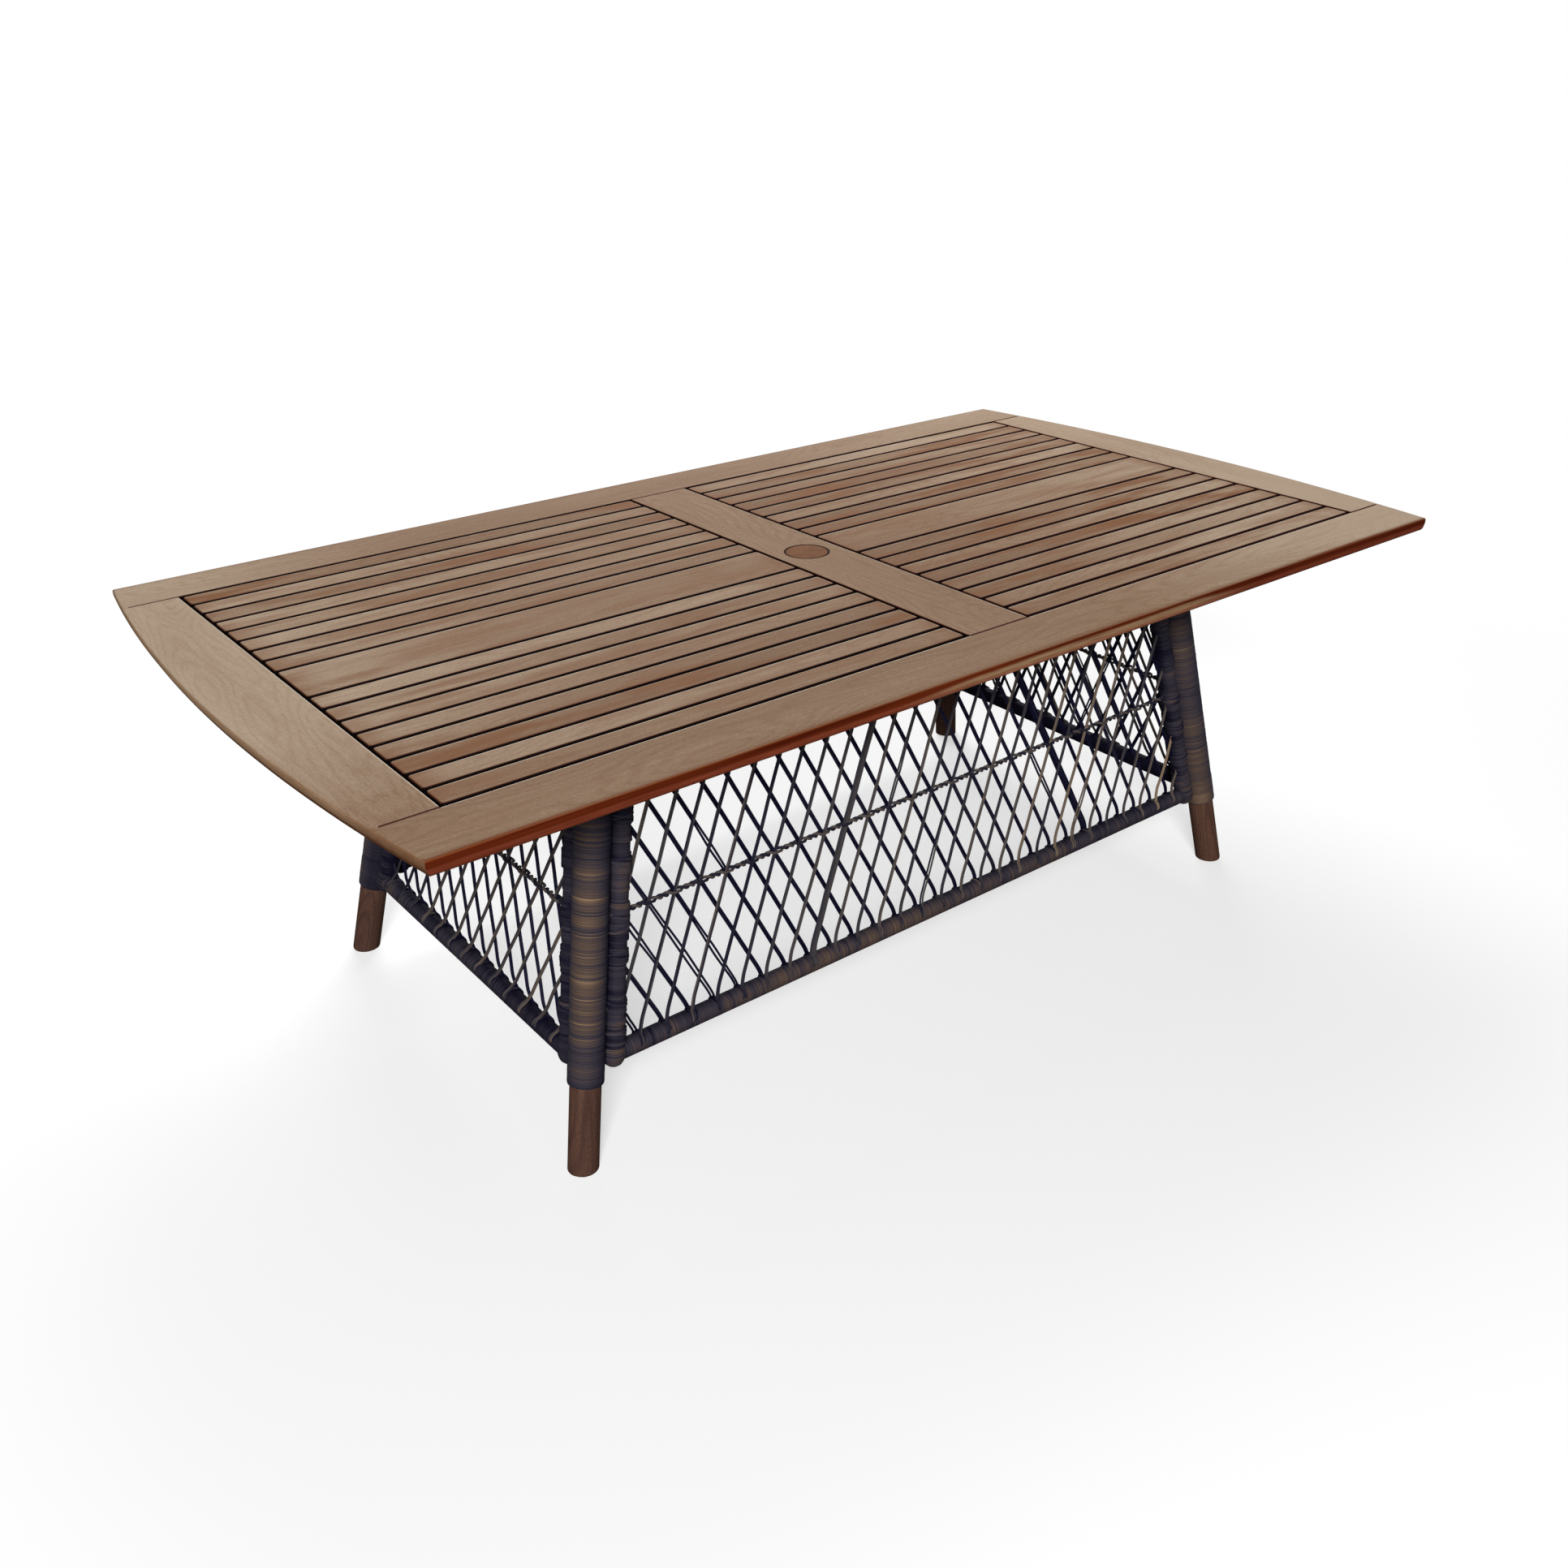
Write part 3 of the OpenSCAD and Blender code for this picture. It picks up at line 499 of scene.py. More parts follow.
def edge_loops(outline):
    """Loops of the outline at each level, the painted shade of each point in a gap, and its painted
    highlight lines.

    outline holds (x, y, kind of edge before, kind after).
    """
    here = np.array([p[:2] for p in outline], float)
    step = np.roll(here, -1, 0) - here
    step /= np.linalg.norm(step, axis=1)[:, None]
    after = np.stack([step[:, 1], -step[:, 0]], 1)
    before = np.roll(after, 1, 0)
    loops, deep, pale = [], [], []
    for h, flat in [(h, False) for h in LEVELS] + [(TOP_T, True)]:
        for point, (_, _, *kinds), *ways in zip(here, outline, before, after):
            a, b = (inset(kind, h) + (FLAT_IN[kind] if flat else 0.0) for kind in kinds)
            if ways[0] @ ways[1] > CORNER:
                both = ways[0] + ways[1]
                shift = -both / np.linalg.norm(both) * (a + b) / 2
            else:
                shift = np.linalg.solve(np.stack(ways), [-a, -b])
            loops.append((*(point + shift), h))
            sides = [(kind, h, way) for kind, way in zip(kinds, ways)]
            deep.append(0.0 if flat else max((depth(*side) for side in sides), key=abs))
            bare = flat or "butt" in kinds
            pale.append(0.0 if bare else max(catches_light(*side) for side in sides))
    count = len(outline)
    return np.reshape(loops, (-1, count, 3)), np.reshape(deep, (-1, count)), np.reshape(pale, (-1, count))


def between(points, outer, inner):
    """Triangles between two level loops that both run anticlockwise round the origin."""
    following = np.roll(outer, -1)
    middles = (points[outer] + points[following]) / 2
    nearest = [int(np.argmin(np.linalg.norm(points[inner] - middle, axis=1))) for middle in middles]
    found = []
    for a, b, near, after in zip(outer, following, nearest, nearest[1:] + nearest[:1]):
        found.append((a, b, inner[near]))
        for j in range(near, near + (after - near) % len(inner)):
            found.append((b, inner[(j + 1) % len(inner)], inner[j % len(inner)]))
    return np.array(found)


def turned(line, low):
    """Rings of a line (radius, height, painted shade) turned round the table's middle, low up."""
    cos, sin = circle(TURNED)
    return np.array([together(r * cos, r * sin, low + h) for r, h, _ in line])


def board(shape, outline, along, seed, tone=0.0, drop=0.0, hole=()):
    """One board of the top. along is its grain's axis, and hole is a line to turn."""
    loops, deep, pale = edge_loops(outline)
    low = TOP_H - TOP_T - drop

    def add(rings, tones, gap):
        grain = rings if along == 0 else rings[..., [1, 0, 2]]
        grain = grain + seed * np.array([3170.0, 1130.0, 410.0])
        return shape.loft(rings, ends=not hole, tone=tones, gap=gap, grain=grain)

    # The tone rises on back-facing upper edges, a painted highlight, and the gap value carries painted
    # shade.
    outer = add(loops + (0, 0, low), tone + PAINTED_HIGHLIGHT * pale, deep)
    if hole:
        inner = add(turned(hole, low), tone, [d for _, _, d in hole])
        points = np.concatenate(shape.points)
        shape.face(between(points, outer[-1], inner[0]))
        shape.face(between(points, outer[0], inner[-1])[:, ::-1])


def bow_x(y):
    return HALF_LEN - BOW_R + math.sqrt(BOW_R**2 - y * y)


def mirrored(outline, flip_x=False, flip_y=False):
    """The outline on the other side, still running anticlockwise."""
    sx, sy = (-1 if flip_x else 1), (-1 if flip_y else 1)
    moved = [(sx * x, sy * y, a, b) for x, y, a, b in outline]
    if flip_x == flip_y:
        return moved
    return [(x, y, b, a) for x, y, a, b in reversed(moved)]


def bow_arc(low, high, count, kind_in, kind_out):
    """Points up a bowed end, with the kinds of edge before and after them."""
    arc = [[bow_x(y), y, "bow", "bow"] for y in np.linspace(low, high, count)]
    arc[0][2], arc[-1][3] = kind_in, kind_out
    return arc


def long_rail_outline():
    """The front rail. Where nothing but a slat's end faces it, its inner edge is eased."""
    outline = bow_arc(-HALF_W, -FIELD_W, 7, "rim", "butt")
    for x, kind in (
        (bow_x(FIELD_W) - NEAR_BOW, "butt"),
        (END_IN + 1, "butt"),
        (END_IN - 1, "eased"),
        (CENTRE_HALF + 1, "eased"),
        (CENTRE_HALF - 1, "butt"),
    ):
        outline.append((x, -FIELD_W, kind, kind))
    left = mirrored(outline, flip_x=True)
    return [left[-1], *outline, *left[:-1]]


def joint_corner(x):
    """An inner corner where a rail's long edge ends at a long rail."""
    return [(x, NEAR_JOINT - FIELD_W, "tight", "tight"), (x, -FIELD_W, "tight", "butt")]


def end_rail_outline():
    low = joint_corner(END_IN)
    low.append((bow_x(FIELD_W) - NEAR_BOW, -FIELD_W, "butt", "butt"))
    arc = bow_arc(-FIELD_W, FIELD_W, 41, "butt", "butt")
    return [*low, *arc, *mirrored(low, flip_y=True)]


def centre_rail_outline():
    corner = joint_corner(-CENTRE_HALF)
    front = corner + mirrored(corner, flip_x=True)
    return front + mirrored(front, flip_x=True, flip_y=True)


def slat_outline(middle, width):
    """A board of the right half: a rectangle with its corners rounded in plan."""
    x0, x1 = SLAT_X0 + SLAT_CORNER, SLAT_X1 - SLAT_CORNER
    aside = width / 2 - SLAT_CORNER
    y0, y1 = middle - aside, middle + aside
    outline = []
    for x, y, start in ((x0, y0, 180), (x1, y0, 270), (x1, y1, 0), (x0, y1, 90)):
        for angle in np.radians(start + np.array([0, 30, 60, 90])):
            corner = (x + SLAT_CORNER * math.cos(angle), y + SLAT_CORNER * math.sin(angle))
            outline.append((*corner, "eased", "eased"))
    return outline


def build_boards(shape, name, node):
    shape.build(name, TOP_WOOD, "top_wood", node, sharp=40)


def make_top():
    rng = np.random.default_rng(11)
    for name, outline, along, tone in (
        ("front_rail", long_rail_outline(), 0, 0.0),
        ("back_rail", mirrored(long_rail_outline(), flip_y=True), 0, 0.1),
        ("left_end_rail", mirrored(end_rail_outline(), flip_x=True), 1, 0.3),
        ("right_end_rail", end_rail_outline(), 1, 0.4),
    ):
        shape = Shape()
        board(shape, outline, along, rng.integers(3, 60), tone)
        build_boards(shape, name + "_board", name)
    shape = Shape()
    board(shape, centre_rail_outline(), 1, 23, 0.1, hole=HOLE)
    build_boards(shape, "centre_rail_board", "centre_rail")
    for side in ("left", "right"):
        slats, wide = Shape(), Shape()
        for row in range(-SLATS_A_SIDE, SLATS_A_SIDE + 1):
            away = (SLATS_A_SIDE - abs(row)) * (SLAT_W + SLAT_GAP)
            middle = math.copysign(FIELD_W - SLAT_GAP - SLAT_W / 2 - away, row)
            outline = slat_outline(middle, SLAT_W) if row else slat_outline(0.0, WIDE_W)
            if side == "left":
                outline = mirrored(outline, flip_x=True)
            tone = rng.uniform(-0.8, 0.6) if row else 0.0
            drop = rng.uniform(0, 0.35) if row else 0.0
            board(slats if row else wide, outline, 0, rng.integers(3, 90), tone, drop)
        build_boards(slats, side + "_slat_boards", side + "_slats")
        build_boards(wide, side + "_middle_board", side + "_wide_board")


def make_plug():
    """Turned plug with an eased rim, and a shallow relief below."""
    rings = turned(PLUG, TOP_H - RECESS_DEEP)
    shape = Shape()
    # The third value of each line paints shade on the plug's sides, a dark ring in the gap round it.
    shape.loft(rings, gap=[d for _, _, d in PLUG], grain=rings + (5200.0, 900.0, 40.0))
    shape.build("plug_turned", PLUG_WOOD, "plug_wood", "umbrella_plug", body="plug", sharp=35)


# Windings
def turns(rng, start, end, pitch):
    """Edges of the turns of a wrap between two places along its tube."""
    count = max(2, round((end - start) / pitch))
    steps = rng.uniform(0.88, 1.12, count)
    return start + np.concatenate([[0], np.cumsum(steps)]) * (end - start) / steps.sum()


def turn_tones(rng, base):
    """Tones of single turns round a slowly changing base, with stray bright and dark ones."""
    count = len(base)
    tones = base + rng.normal(0, 0.05, count)
    pick = rng.random(count)
    tones = np.where(pick < 0.07, tones + rng.uniform(0.1, 0.28, count), tones)
    tones = np.where(pick > 0.85, tones - rng.uniform(0.1, 0.22, count), tones)
    return np.clip(tones, 0.0, 1.05)


def wander(rng, at, length, low, high):
    """Smooth random line through the places in at, between low and high."""
    knots = np.arange(at[0] - length, at[-1] + 2 * length, length)
    return np.interp(at, knots, rng.uniform(low, high, len(knots)))


def turn_profile(edges, tones, radius, groove, shares=(0.0, 0.2, 0.5, 0.8)):
    """Rows (place, radius, tone, gap) of the turns: a groove at each edge, full in the middle. gap is 1
    in each groove, where it paints shade.
    """
    fall = {0.0: 1.0, 0.2: 0.16, 0.25: 0.12, 0.5: 0.0, 0.75: 0.12, 0.8: 0.16}
    rows = []
    for i, tone in enumerate(tones):
        for share in shares:
            place = edges[i] + share * (edges[i + 1] - edges[i])
            rows.append((place, radius[i] - groove * fall[share], tone, float(share == 0)))
    rows.append((edges[-1], radius[-1] - groove, tones[-1], 1.0))
    return rows


def frames(path):
    """Directions along a path and two across it that turn with it but never twist."""
    way = np.gradient(path, axis=0)
    way /= np.linalg.norm(way, axis=1)[:, None]
    across = np.empty_like(way)
    last = ACROSS if abs(way[0][1]) < 0.8 else ALONG
    for i, ahead in enumerate(way):
        last = last - ahead * (ahead @ last)
        last = last / math.sqrt(last @ last)
        across[i] = last
    return across, np.cross(way, across)


# Legs: the wrap's tones at heights above the floor
LEG_ZONES = {
    "front_left": (
        (140, 205, 250, 300, 380, 450, 520, 600, 700),
        (0.24, 0.32, 0.5, 0.62, 0.56, 0.48, 0.34, 0.26, 0.16),
    ),
    "front_right": (
        (140, 180, 220, 330, 450, 560, 640, 700),
        (0.6, 0.6, 0.5, 0.36, 0.36, 0.4, 0.5, 0.4),
    ),
    "back_left": ((140, 210, 330, 500, 700), (0.35, 0.45, 0.55, 0.35, 0.25)),
    "back_right": ((140, 240, 400, 600, 700), (0.3, 0.5, 0.4, 0.5, 0.3)),
}
# Pitch of the turns in the collar and above it, and the length over which the top gets level
COLLAR_PITCH, LEG_PITCH, LEVELLING = 2.3, 2.6, 90.0
LEG_SIDES, FOOT_SIDES = 48, 64


def leg_frame(sx, sy):
    """The leg's axis: its point on the floor, its direction and two directions across it."""
    foot = np.array([sx * FOOT_X, sy * FOOT_Y, 0.0])
    up = np.array([-sx * LEAN_X, -sy * LEAN_Y, 1.0])
    up /= np.linalg.norm(up)
    across = np.cross(ACROSS, up)
    across /= np.linalg.norm(across)
    return foot, up, across, np.cross(up, across)


def make_leg(side, sx, sy, seed):
    """Wrap of the leg, with painted light that makes it palest on one side."""
    rng = np.random.default_rng(seed)
    foot, up, *pair = leg_frame(sx, sy)
    top, collar = WRAP_TOP / up[2], WRAP_START + COLLAR
    low = turns(rng, WRAP_START + 2.5, collar, COLLAR_PITCH)
    edges = np.concatenate([low[:-1], turns(rng, collar, top, LEG_PITCH)])
    count = len(edges) - 1
    in_collar = edges[:-1] < collar - 0.1
    base = np.interp(edges[:-1] * up[2], *LEG_ZONES[side]) + wander(rng, edges[:-1], 14.0, -0.1, 0.1)
    level = np.clip(base + rng.normal(0, 0.05, count), 0, 1)
    tones = np.where(in_collar, level, turn_tones(rng, base))
    radius = np.where(in_collar, LEG_R + 0.6, LEG_R) + rng.normal(0, 0.1, count)
    # The gap value paints shade at the wrap's lower edge and, at full strength, on its inner side.
    rows = [(WRAP_START, LEG_R - 2.2, 0.1, 0.3), (WRAP_START + 0.7, LEG_R - 0.7, 0.1, 0.0)]
    rows.append((WRAP_START + 1.8, LEG_R + 0.2, 0.1, 0.0))
    rows += turn_profile(edges, tones, np.minimum(radius, LEG_R + 0.8), 0.75)
    rows = np.array(rows + [(top, LEG_IN, 0.2, 1.0), (WRAP_START, LEG_IN, 0.2, 1.0)])
    place, r = rows[:, :1], rows[:, 1:2]
    ways = spokes(LEG_SIDES, *pair)
    slant = np.clip((place - top) / LEVELLING + 1, 0, 1) * r * ways[:, 2] / up[2]
    rings = foot + (place - slant)[..., None] * up + r[..., None] * ways
    rings[..., 2] = np.minimum(rings[..., 2], WRAP_TOP)
    grain = together(np.linspace(0, 179, LEG_SIDES) + place * 50, place, seed * 300.0)
    # Painted light and shade: paler on the side turned to -x and -y on the front legs and outwards on the
    # back legs, darker on the far side.
    painted_light = np.clip(ways @ (-0.7 if sy < 0 else 0.7 * sx, 0.71 * sy, 0.0), 0, 1)
    tone = rows[:, 2:3] * (0.35 + 0.65 * painted_light) + 0.13 * painted_light
    shape = Shape()
    shape.loft(rings, cyclic=True, tone=tone, gap=rows[:, 3], grain=grain)
    shape.build(side + "_leg_winding", WRAP, "resin_wicker", side + "_leg_wrap")
    make_foot(side, foot, up, pair, seed)


def make_foot(side, foot, up, pair, seed):
    """Turned foot with a spigot, its lower edge rounded and its end cut level."""
    drop = FOOT_R * math.tan(math.acos(up[2])) + FOOT_EDGE / 2
    line = [(1.0, -drop), (8.0, -drop)]
    for a in np.linspace(0, math.pi / 2, 12):
        line.append((FOOT_R - FOOT_EDGE * (1 - math.sin(a)), FOOT_EDGE * (1 - math.cos(a)) - drop))
    line += [(FOOT_R, place) for place in (12, 20, 60, 100, WRAP_START - 1.1)]
    line += [(FOOT_R - 0.25, WRAP_START - 0.5), (FOOT_R - 0.9, WRAP_START - 0.3)]
    spigot_end = WRAP_START + SPIGOT_LEN
    line += [(SPIGOT_R, WRAP_START - 0.3), (SPIGOT_R, spigot_end - 2)]
    line += [(SPIGOT_R - 1.5, spigot_end), (1.0, spigot_end)]
    r, place = np.array(line).T[..., None, None]
    rings = foot + place * up + r * spokes(FOOT_SIDES, *pair)
    rings -= np.minimum(rings[..., 2:], 0.0) / up[2] * up
    cos, sin = circle(FOOT_SIDES)
    grain = together((rings - foot) @ up, r[..., 0] * cos, r[..., 0] * sin) + seed * 777.0
    shape = Shape()
    # Painted light: the front right foot takes a paler tone than the others.
    shape.loft(rings, tone=0.3 if side == "front_right" else 0.1, grain=grain)
    shape.build(side + "_foot_turned", FOOT_WOOD, "foot_wood", side + "_foot", sharp=35)


# Lattice panels: the bottom wrap's tones from one end of the panel to the other
BOTTOM_TONES = {
    "front": (0.22, 0.36, 0.42, 0.32, 0.24, 0.2), "left": (0.3, 0.2, 0.12, 0.06, 0.04, 0.0),
    "right": (0.2, 0.26, 0.16, 0.22), "back": (0.25, 0.35, 0.3, 0.4, 0.25),
}
# Rows of the front panel, by lean and number: those with four strands, and those whose two strands
# part, with the height and half length of the opening
DOUBLED = {(1, -6), (-1, -8)}
PARTED = {(-1, 10): (110.0, 75.0), (-1, 11): (185.0, 40.0)}
# How far short of a side tube's axis the cross members, the strands and the mid cords end
TUCK, MID_TUCK = 9.0, 11.0
# Length and growth of the thick lower end of a side tube, and how far the wrap's upper end stands out
BULB, BULB_OUT, TIP = 23.0, 3.0, 12.0
# Height above the bottom tube's wrap at which a looped strand joins its row
LOOP_H = 26.0


class Panel:
    """One panel in its own plane: x along it, y square to it, z up its slope."""

    def __init__(self, side, sizes, turn, seed):
        self.side, self.rng, self.shape = side, np.random.default_rng(seed), Shape()
        foot_x, foot_y, lean_x, lean_y = sizes
        slant = math.hypot(1, lean_y)
        self.rise = (PANEL_HIGH - PANEL_LOW) * slant
        self.slope = lean_x / slant
        self.angle = math.atan(self.slope)
        self.side_len = self.rise / math.cos(self.angle)
        self.half = foot_x - lean_x * PANEL_LOW - STAND_OFF / math.cos(self.angle)
        self.diamond_h = (self.rise - 2 * TUBE_R) / ROWS
        self.mid = TUBE_R + ROWS_BELOW * self.diamond_h
        self.matrix = np.array(
            Matrix.Rotation(math.radians(turn), 4, "Z")
            @ Matrix.Translation((0, -(foot_y - lean_y * PANEL_LOW), PANEL_LOW))
            @ Matrix.Rotation(-math.atan(lean_y), 4, "X")
        )

    def out(self, points):
        """Points of the panel's plane in the table's frame."""
        return points @ self.matrix[:3, :3].T + self.matrix[:3, 3]

    def edge(self, z):
        """Distance from the middle to a side tube's axis at z."""
        return self.half - z * self.slope

    def tube(self, path, pair, radius, sides, run, seed, tone, cyclic=False):
        """Round tube along a path, from its two directions across and the length run at each point."""
        rings = self.out(path[:, None] + radius * spokes(sides, *pair))
        grain = together(run[:, None], np.arange(sides) * radius, seed)
        self.shape.loft(rings, cyclic=cyclic, tone=tone, grain=grain)

    def strand(self, path, radius, tone, sides=7, seed=0.0):
        """Round strand along an open path given in the panel's plane."""
        run = np.concatenate([[0], np.cumsum(np.linalg.norm(np.diff(path, axis=0), axis=1))])
        self.tube(path, frames(path), radius, sides, run, seed, tone)

    def ring(self, centre, way, pair, radius, tilt, thick, tone):
        """Closed strand round a tube, tilted so that it runs `tilt` up and down its axis."""
        t = np.linspace(0, 2 * math.pi, 28, endpoint=False)
        outward = spokes(len(t), *pair)
        path = centre + radius * outward + np.outer(tilt * np.sin(t + self.rng.uniform(0, 6)), way)
        ahead = np.roll(path, -1, 0) - np.roll(path, 1, 0)
        ahead /= np.linalg.norm(ahead, axis=1)[:, None]
        first = outward - ahead * (outward * ahead).sum(1)[:, None]
        first /= np.linalg.norm(first, axis=1)[:, None]
        pair = first, np.cross(ahead, first)
        self.tube(path, pair, thick, 7, t * radius, centre[2], tone, cyclic=True)

    def hits(self):
        """Heights at which the strands of both leans reach a side tube."""
        found, step = [], DIAMOND / self.diamond_h
        for k in range(-40, 41):
            for way in (step, -step):
                z = (self.half - k * DIAMOND + way * TUBE_R) / (way + self.slope)
                if 30 < z < self.rise - 30:
                    found.append(z)
        return sorted(found)

    def wound(self, point, way, pair, rows, sides, cyclic=False, towards=0.0):
        """Wrap of rows (place, radius, tone, gap, swell) along a straight tube from point.

        The swell stands out most on one side of the tube, `towards` times across.
        """
        rows = np.array(rows)
        place = rows[:, :1]
        ways = spokes(sides, *pair)
        swollen = 0.25 + 0.75 * np.clip(towards * circle(sides)[0], 0, 1) ** 0.6
        reach = rows[:, 1:2] + rows[:, 4:] * swollen
        rings = self.out(point + (place * way)[:, None] + reach[..., None] * ways)
        grain = together(np.linspace(0, 100, sides) + place * 37, place, 60.0)
        # Painted light and shade: the wrap is paler on its outer face and darker on its inner face.
        tone = rows[:, 2:3] - 0.24 * ways[:, 1] - 0.1
        self.shape.loft(rings, cyclic=cyclic, tone=tone, gap=rows[:, 3], grain=grain)

    def side_tube(self, s):
        """Side member: wrap with round ends, thicker where strands are tied to it."""
        rng, end = self.rng, self.side_len
        point = np.array([s * self.half, 0.0, 0.0])
        way = np.array([-s * math.sin(self.angle), 0.0, math.cos(self.angle)])
        across = np.array([way[2], 0.0, -way[0]])
        pair = across, np.cross(way, across)
        edges = turns(rng, -17.0, end + TIP, 2.9)
        middle = (edges[1:] + edges[:-1]) / 2
        count = len(middle)
        low_tone, high_tone = (0.0, 0.12) if self.side == "left" else (0.05, 0.32)
        tones = wander(rng, middle, 60.0, low_tone, high_tone) + rng.normal(0, 0.05, count)
        radius = np.full(count, TUBE_R) + rng.normal(0, 0.1, count)
        swell = np.zeros(count)
        for z in self.hits():
            place = z / math.cos(self.angle) + rng.uniform(-4, 4)
            tied = np.abs(middle - place) < rng.uniform(11, 16)
            radius[tied] = TUBE_R + 1.0 + rng.normal(0, 0.2, tied.sum())
            swell[tied] = rng.uniform(1.8, 3.2)
            tones[tied] = rng.uniform(low_tone, high_tone) + rng.normal(0, 0.06, tied.sum())
            for _ in range(2):
                centre = point + (place + rng.uniform(-9, 9)) * way
                tilt = rng.uniform(2, 6)
                tone = rng.uniform(low_tone, 1.3 * high_tone)
                self.ring(centre, way, pair, TUBE_R + 1.3, tilt, 2.1, tone)
        for place in np.arange(34, end - 16, 27) + rng.uniform(-8, 8):
            tied = np.abs(middle - place - rng.uniform(-6, 6)) < rng.uniform(2.5, 5.5)
            swell[tied] = np.maximum(swell[tied], rng.uniform(1.0, 3.0))
            tones[tied] += rng.uniform(-0.15, 0.15)
        low = middle < 24
        radius[low] = (TUBE_R + BULB_OUT) * np.sqrt(1 - (np.minimum(middle[low], 0) / BULB) ** 2)
        radius[low] -= BULB_OUT * np.clip((middle[low] - 8) / 16, 0, 1)
        tones[low] = rng.uniform(low_tone, 1.6 * high_tone, low.sum())
        high = middle > end
        radius[high] = np.sqrt(TUBE_R**2 - (middle[high] - end) ** 2)
        rows = []
        for p in (22.9, 22.2, 20.5):
            rows.append((-p, (TUBE_R + BULB_OUT) * math.sqrt(1 - (p / BULB) ** 2) - 0.2, 0.6, 0, 0))
        turned_rows = turn_profile(edges, tones, radius, 0.7, (0.0, 0.25, 0.75))
        rows += [(*row, out) for row, out in zip(turned_rows, [*np.repeat(swell, 3), 0.0])]
        for p in (13.5, 15.0, 15.9):
            rows.append((end + p, math.sqrt(TUBE_R**2 - p * p), 0.3, 0, 0))
        self.wound(point, way, pair, rows, 30, towards=-s)
        core = [(-12.0, 2.0), (-9.0, 9.0), (0, TUBE_IN), (end, TUBE_IN), (end + 9.0, 9.0)]
        ways = spokes(16, *pair)
        rings = np.array([point + p * way + r * ways for p, r in core + [(end + TIP, 2.0)]])
        # The core inside the wrap's ends carries full painted shade through its gap value.
        self.shape.loft(self.out(rings), inward=True, tone=0.2, gap=1.0)
        self.lacing(point, way, across, s)

    def lacing(self, point, way, across, s):
        """Strand that fills the gap between the panel and the leg, open in a few places."""
        rng = self.rng
        place = 30.0
        while place < self.side_len - 20:
            end = min(place + rng.uniform(40, 150), self.side_len - 6)
            at = np.linspace(place, end, max(4, int((end - place) / 9)))
            aside = s * (TUBE_R + 2.3 + 0.25 * np.sin(at / 3.1))
            path = point + np.outer(at, way) + np.outer(aside, across)
            path[:, 1] += 0.8 * np.sin(at / 4.3)
            self.strand(path, 2.05, rng.uniform(0, 0.3))
            place = end + rng.uniform(4, 7)

    def cross_tube(self, z, pitch, sides, shares):
        """Bottom or top member, wound from end to end."""
        rng = self.rng
        reach = self.edge(z) - TUCK
        edges = turns(rng, -reach, reach, pitch)
        middle = (edges[1:] + edges[:-1]) / 2
        count = len(middle)
        tones = BOTTOM_TONES[self.side]
        tones = np.interp(middle, np.linspace(-reach, reach, len(tones)), tones)
        tones = tones + wander(rng, middle, 30.0, -0.1, 0.1) + rng.normal(0, 0.06, count)
        radius = TUBE_R + rng.normal(0, 0.06, count)
        rows = turn_profile(edges, np.clip(tones, 0, 1), radius, 0.35, shares)
        # The inner rings at the ends carry full painted shade through the gap value.
        rows += [(reach, TUBE_IN, 0, 1), (-reach, TUBE_IN, 0, 1)]
        rows = [(*row, 0.0) for row in rows]
        self.wound(z * ABOVE, ALONG, (ACROSS, ABOVE), rows, sides, cyclic=True)

    def hook(self, x, tone):
        """Short strand that holds a strand's end down on the bottom tube."""
        rng = self.rng
        angles = np.radians(np.linspace(rng.uniform(-8, 18), rng.uniform(160, 190), 13))
        out = TUBE_R + 1.1 - 3.4 * np.abs(np.linspace(-1, 1, 13)) ** 6
        tilt = rng.uniform(-5, 5)
        path = together(x + tilt * np.sin(angles), -out * np.cos(angles), out * np.sin(angles))
        self.strand(path, rng.uniform(1.3, 1.7), tone - 0.15, 6, seed=x)

    def loop_end(self, x, y, z, lean, slope):
        """Path of a strand's lower end: out of the bottom tube's wrap, then up to (x, y, z)."""
        count = 11
        angles = np.radians(np.linspace(-2, 62, count))
        share = np.linspace(1, 0, count)
        out = TUBE_R + 1.3 - 3.6 * share**5
        foot_z = out[-1] * math.sin(angles[-1])
        foot_x = x - slope * (z - foot_z)
        aside = lean * self.rng.uniform(1.0, 5.0) * share
        loop = together(foot_x - aside, -lean * out * np.cos(angles), out * np.sin(angles))
        rest = np.linspace(0, 1, 7)[1:-1]
        foot_y = loop[-1, 1]
        rise = together(
            foot_x + (x - foot_x) * rest,
            y + (foot_y - y) * (1 - rest) ** 2,
            foot_z + (z - foot_z) * rest,
        )
        return np.concatenate([loop, rise])

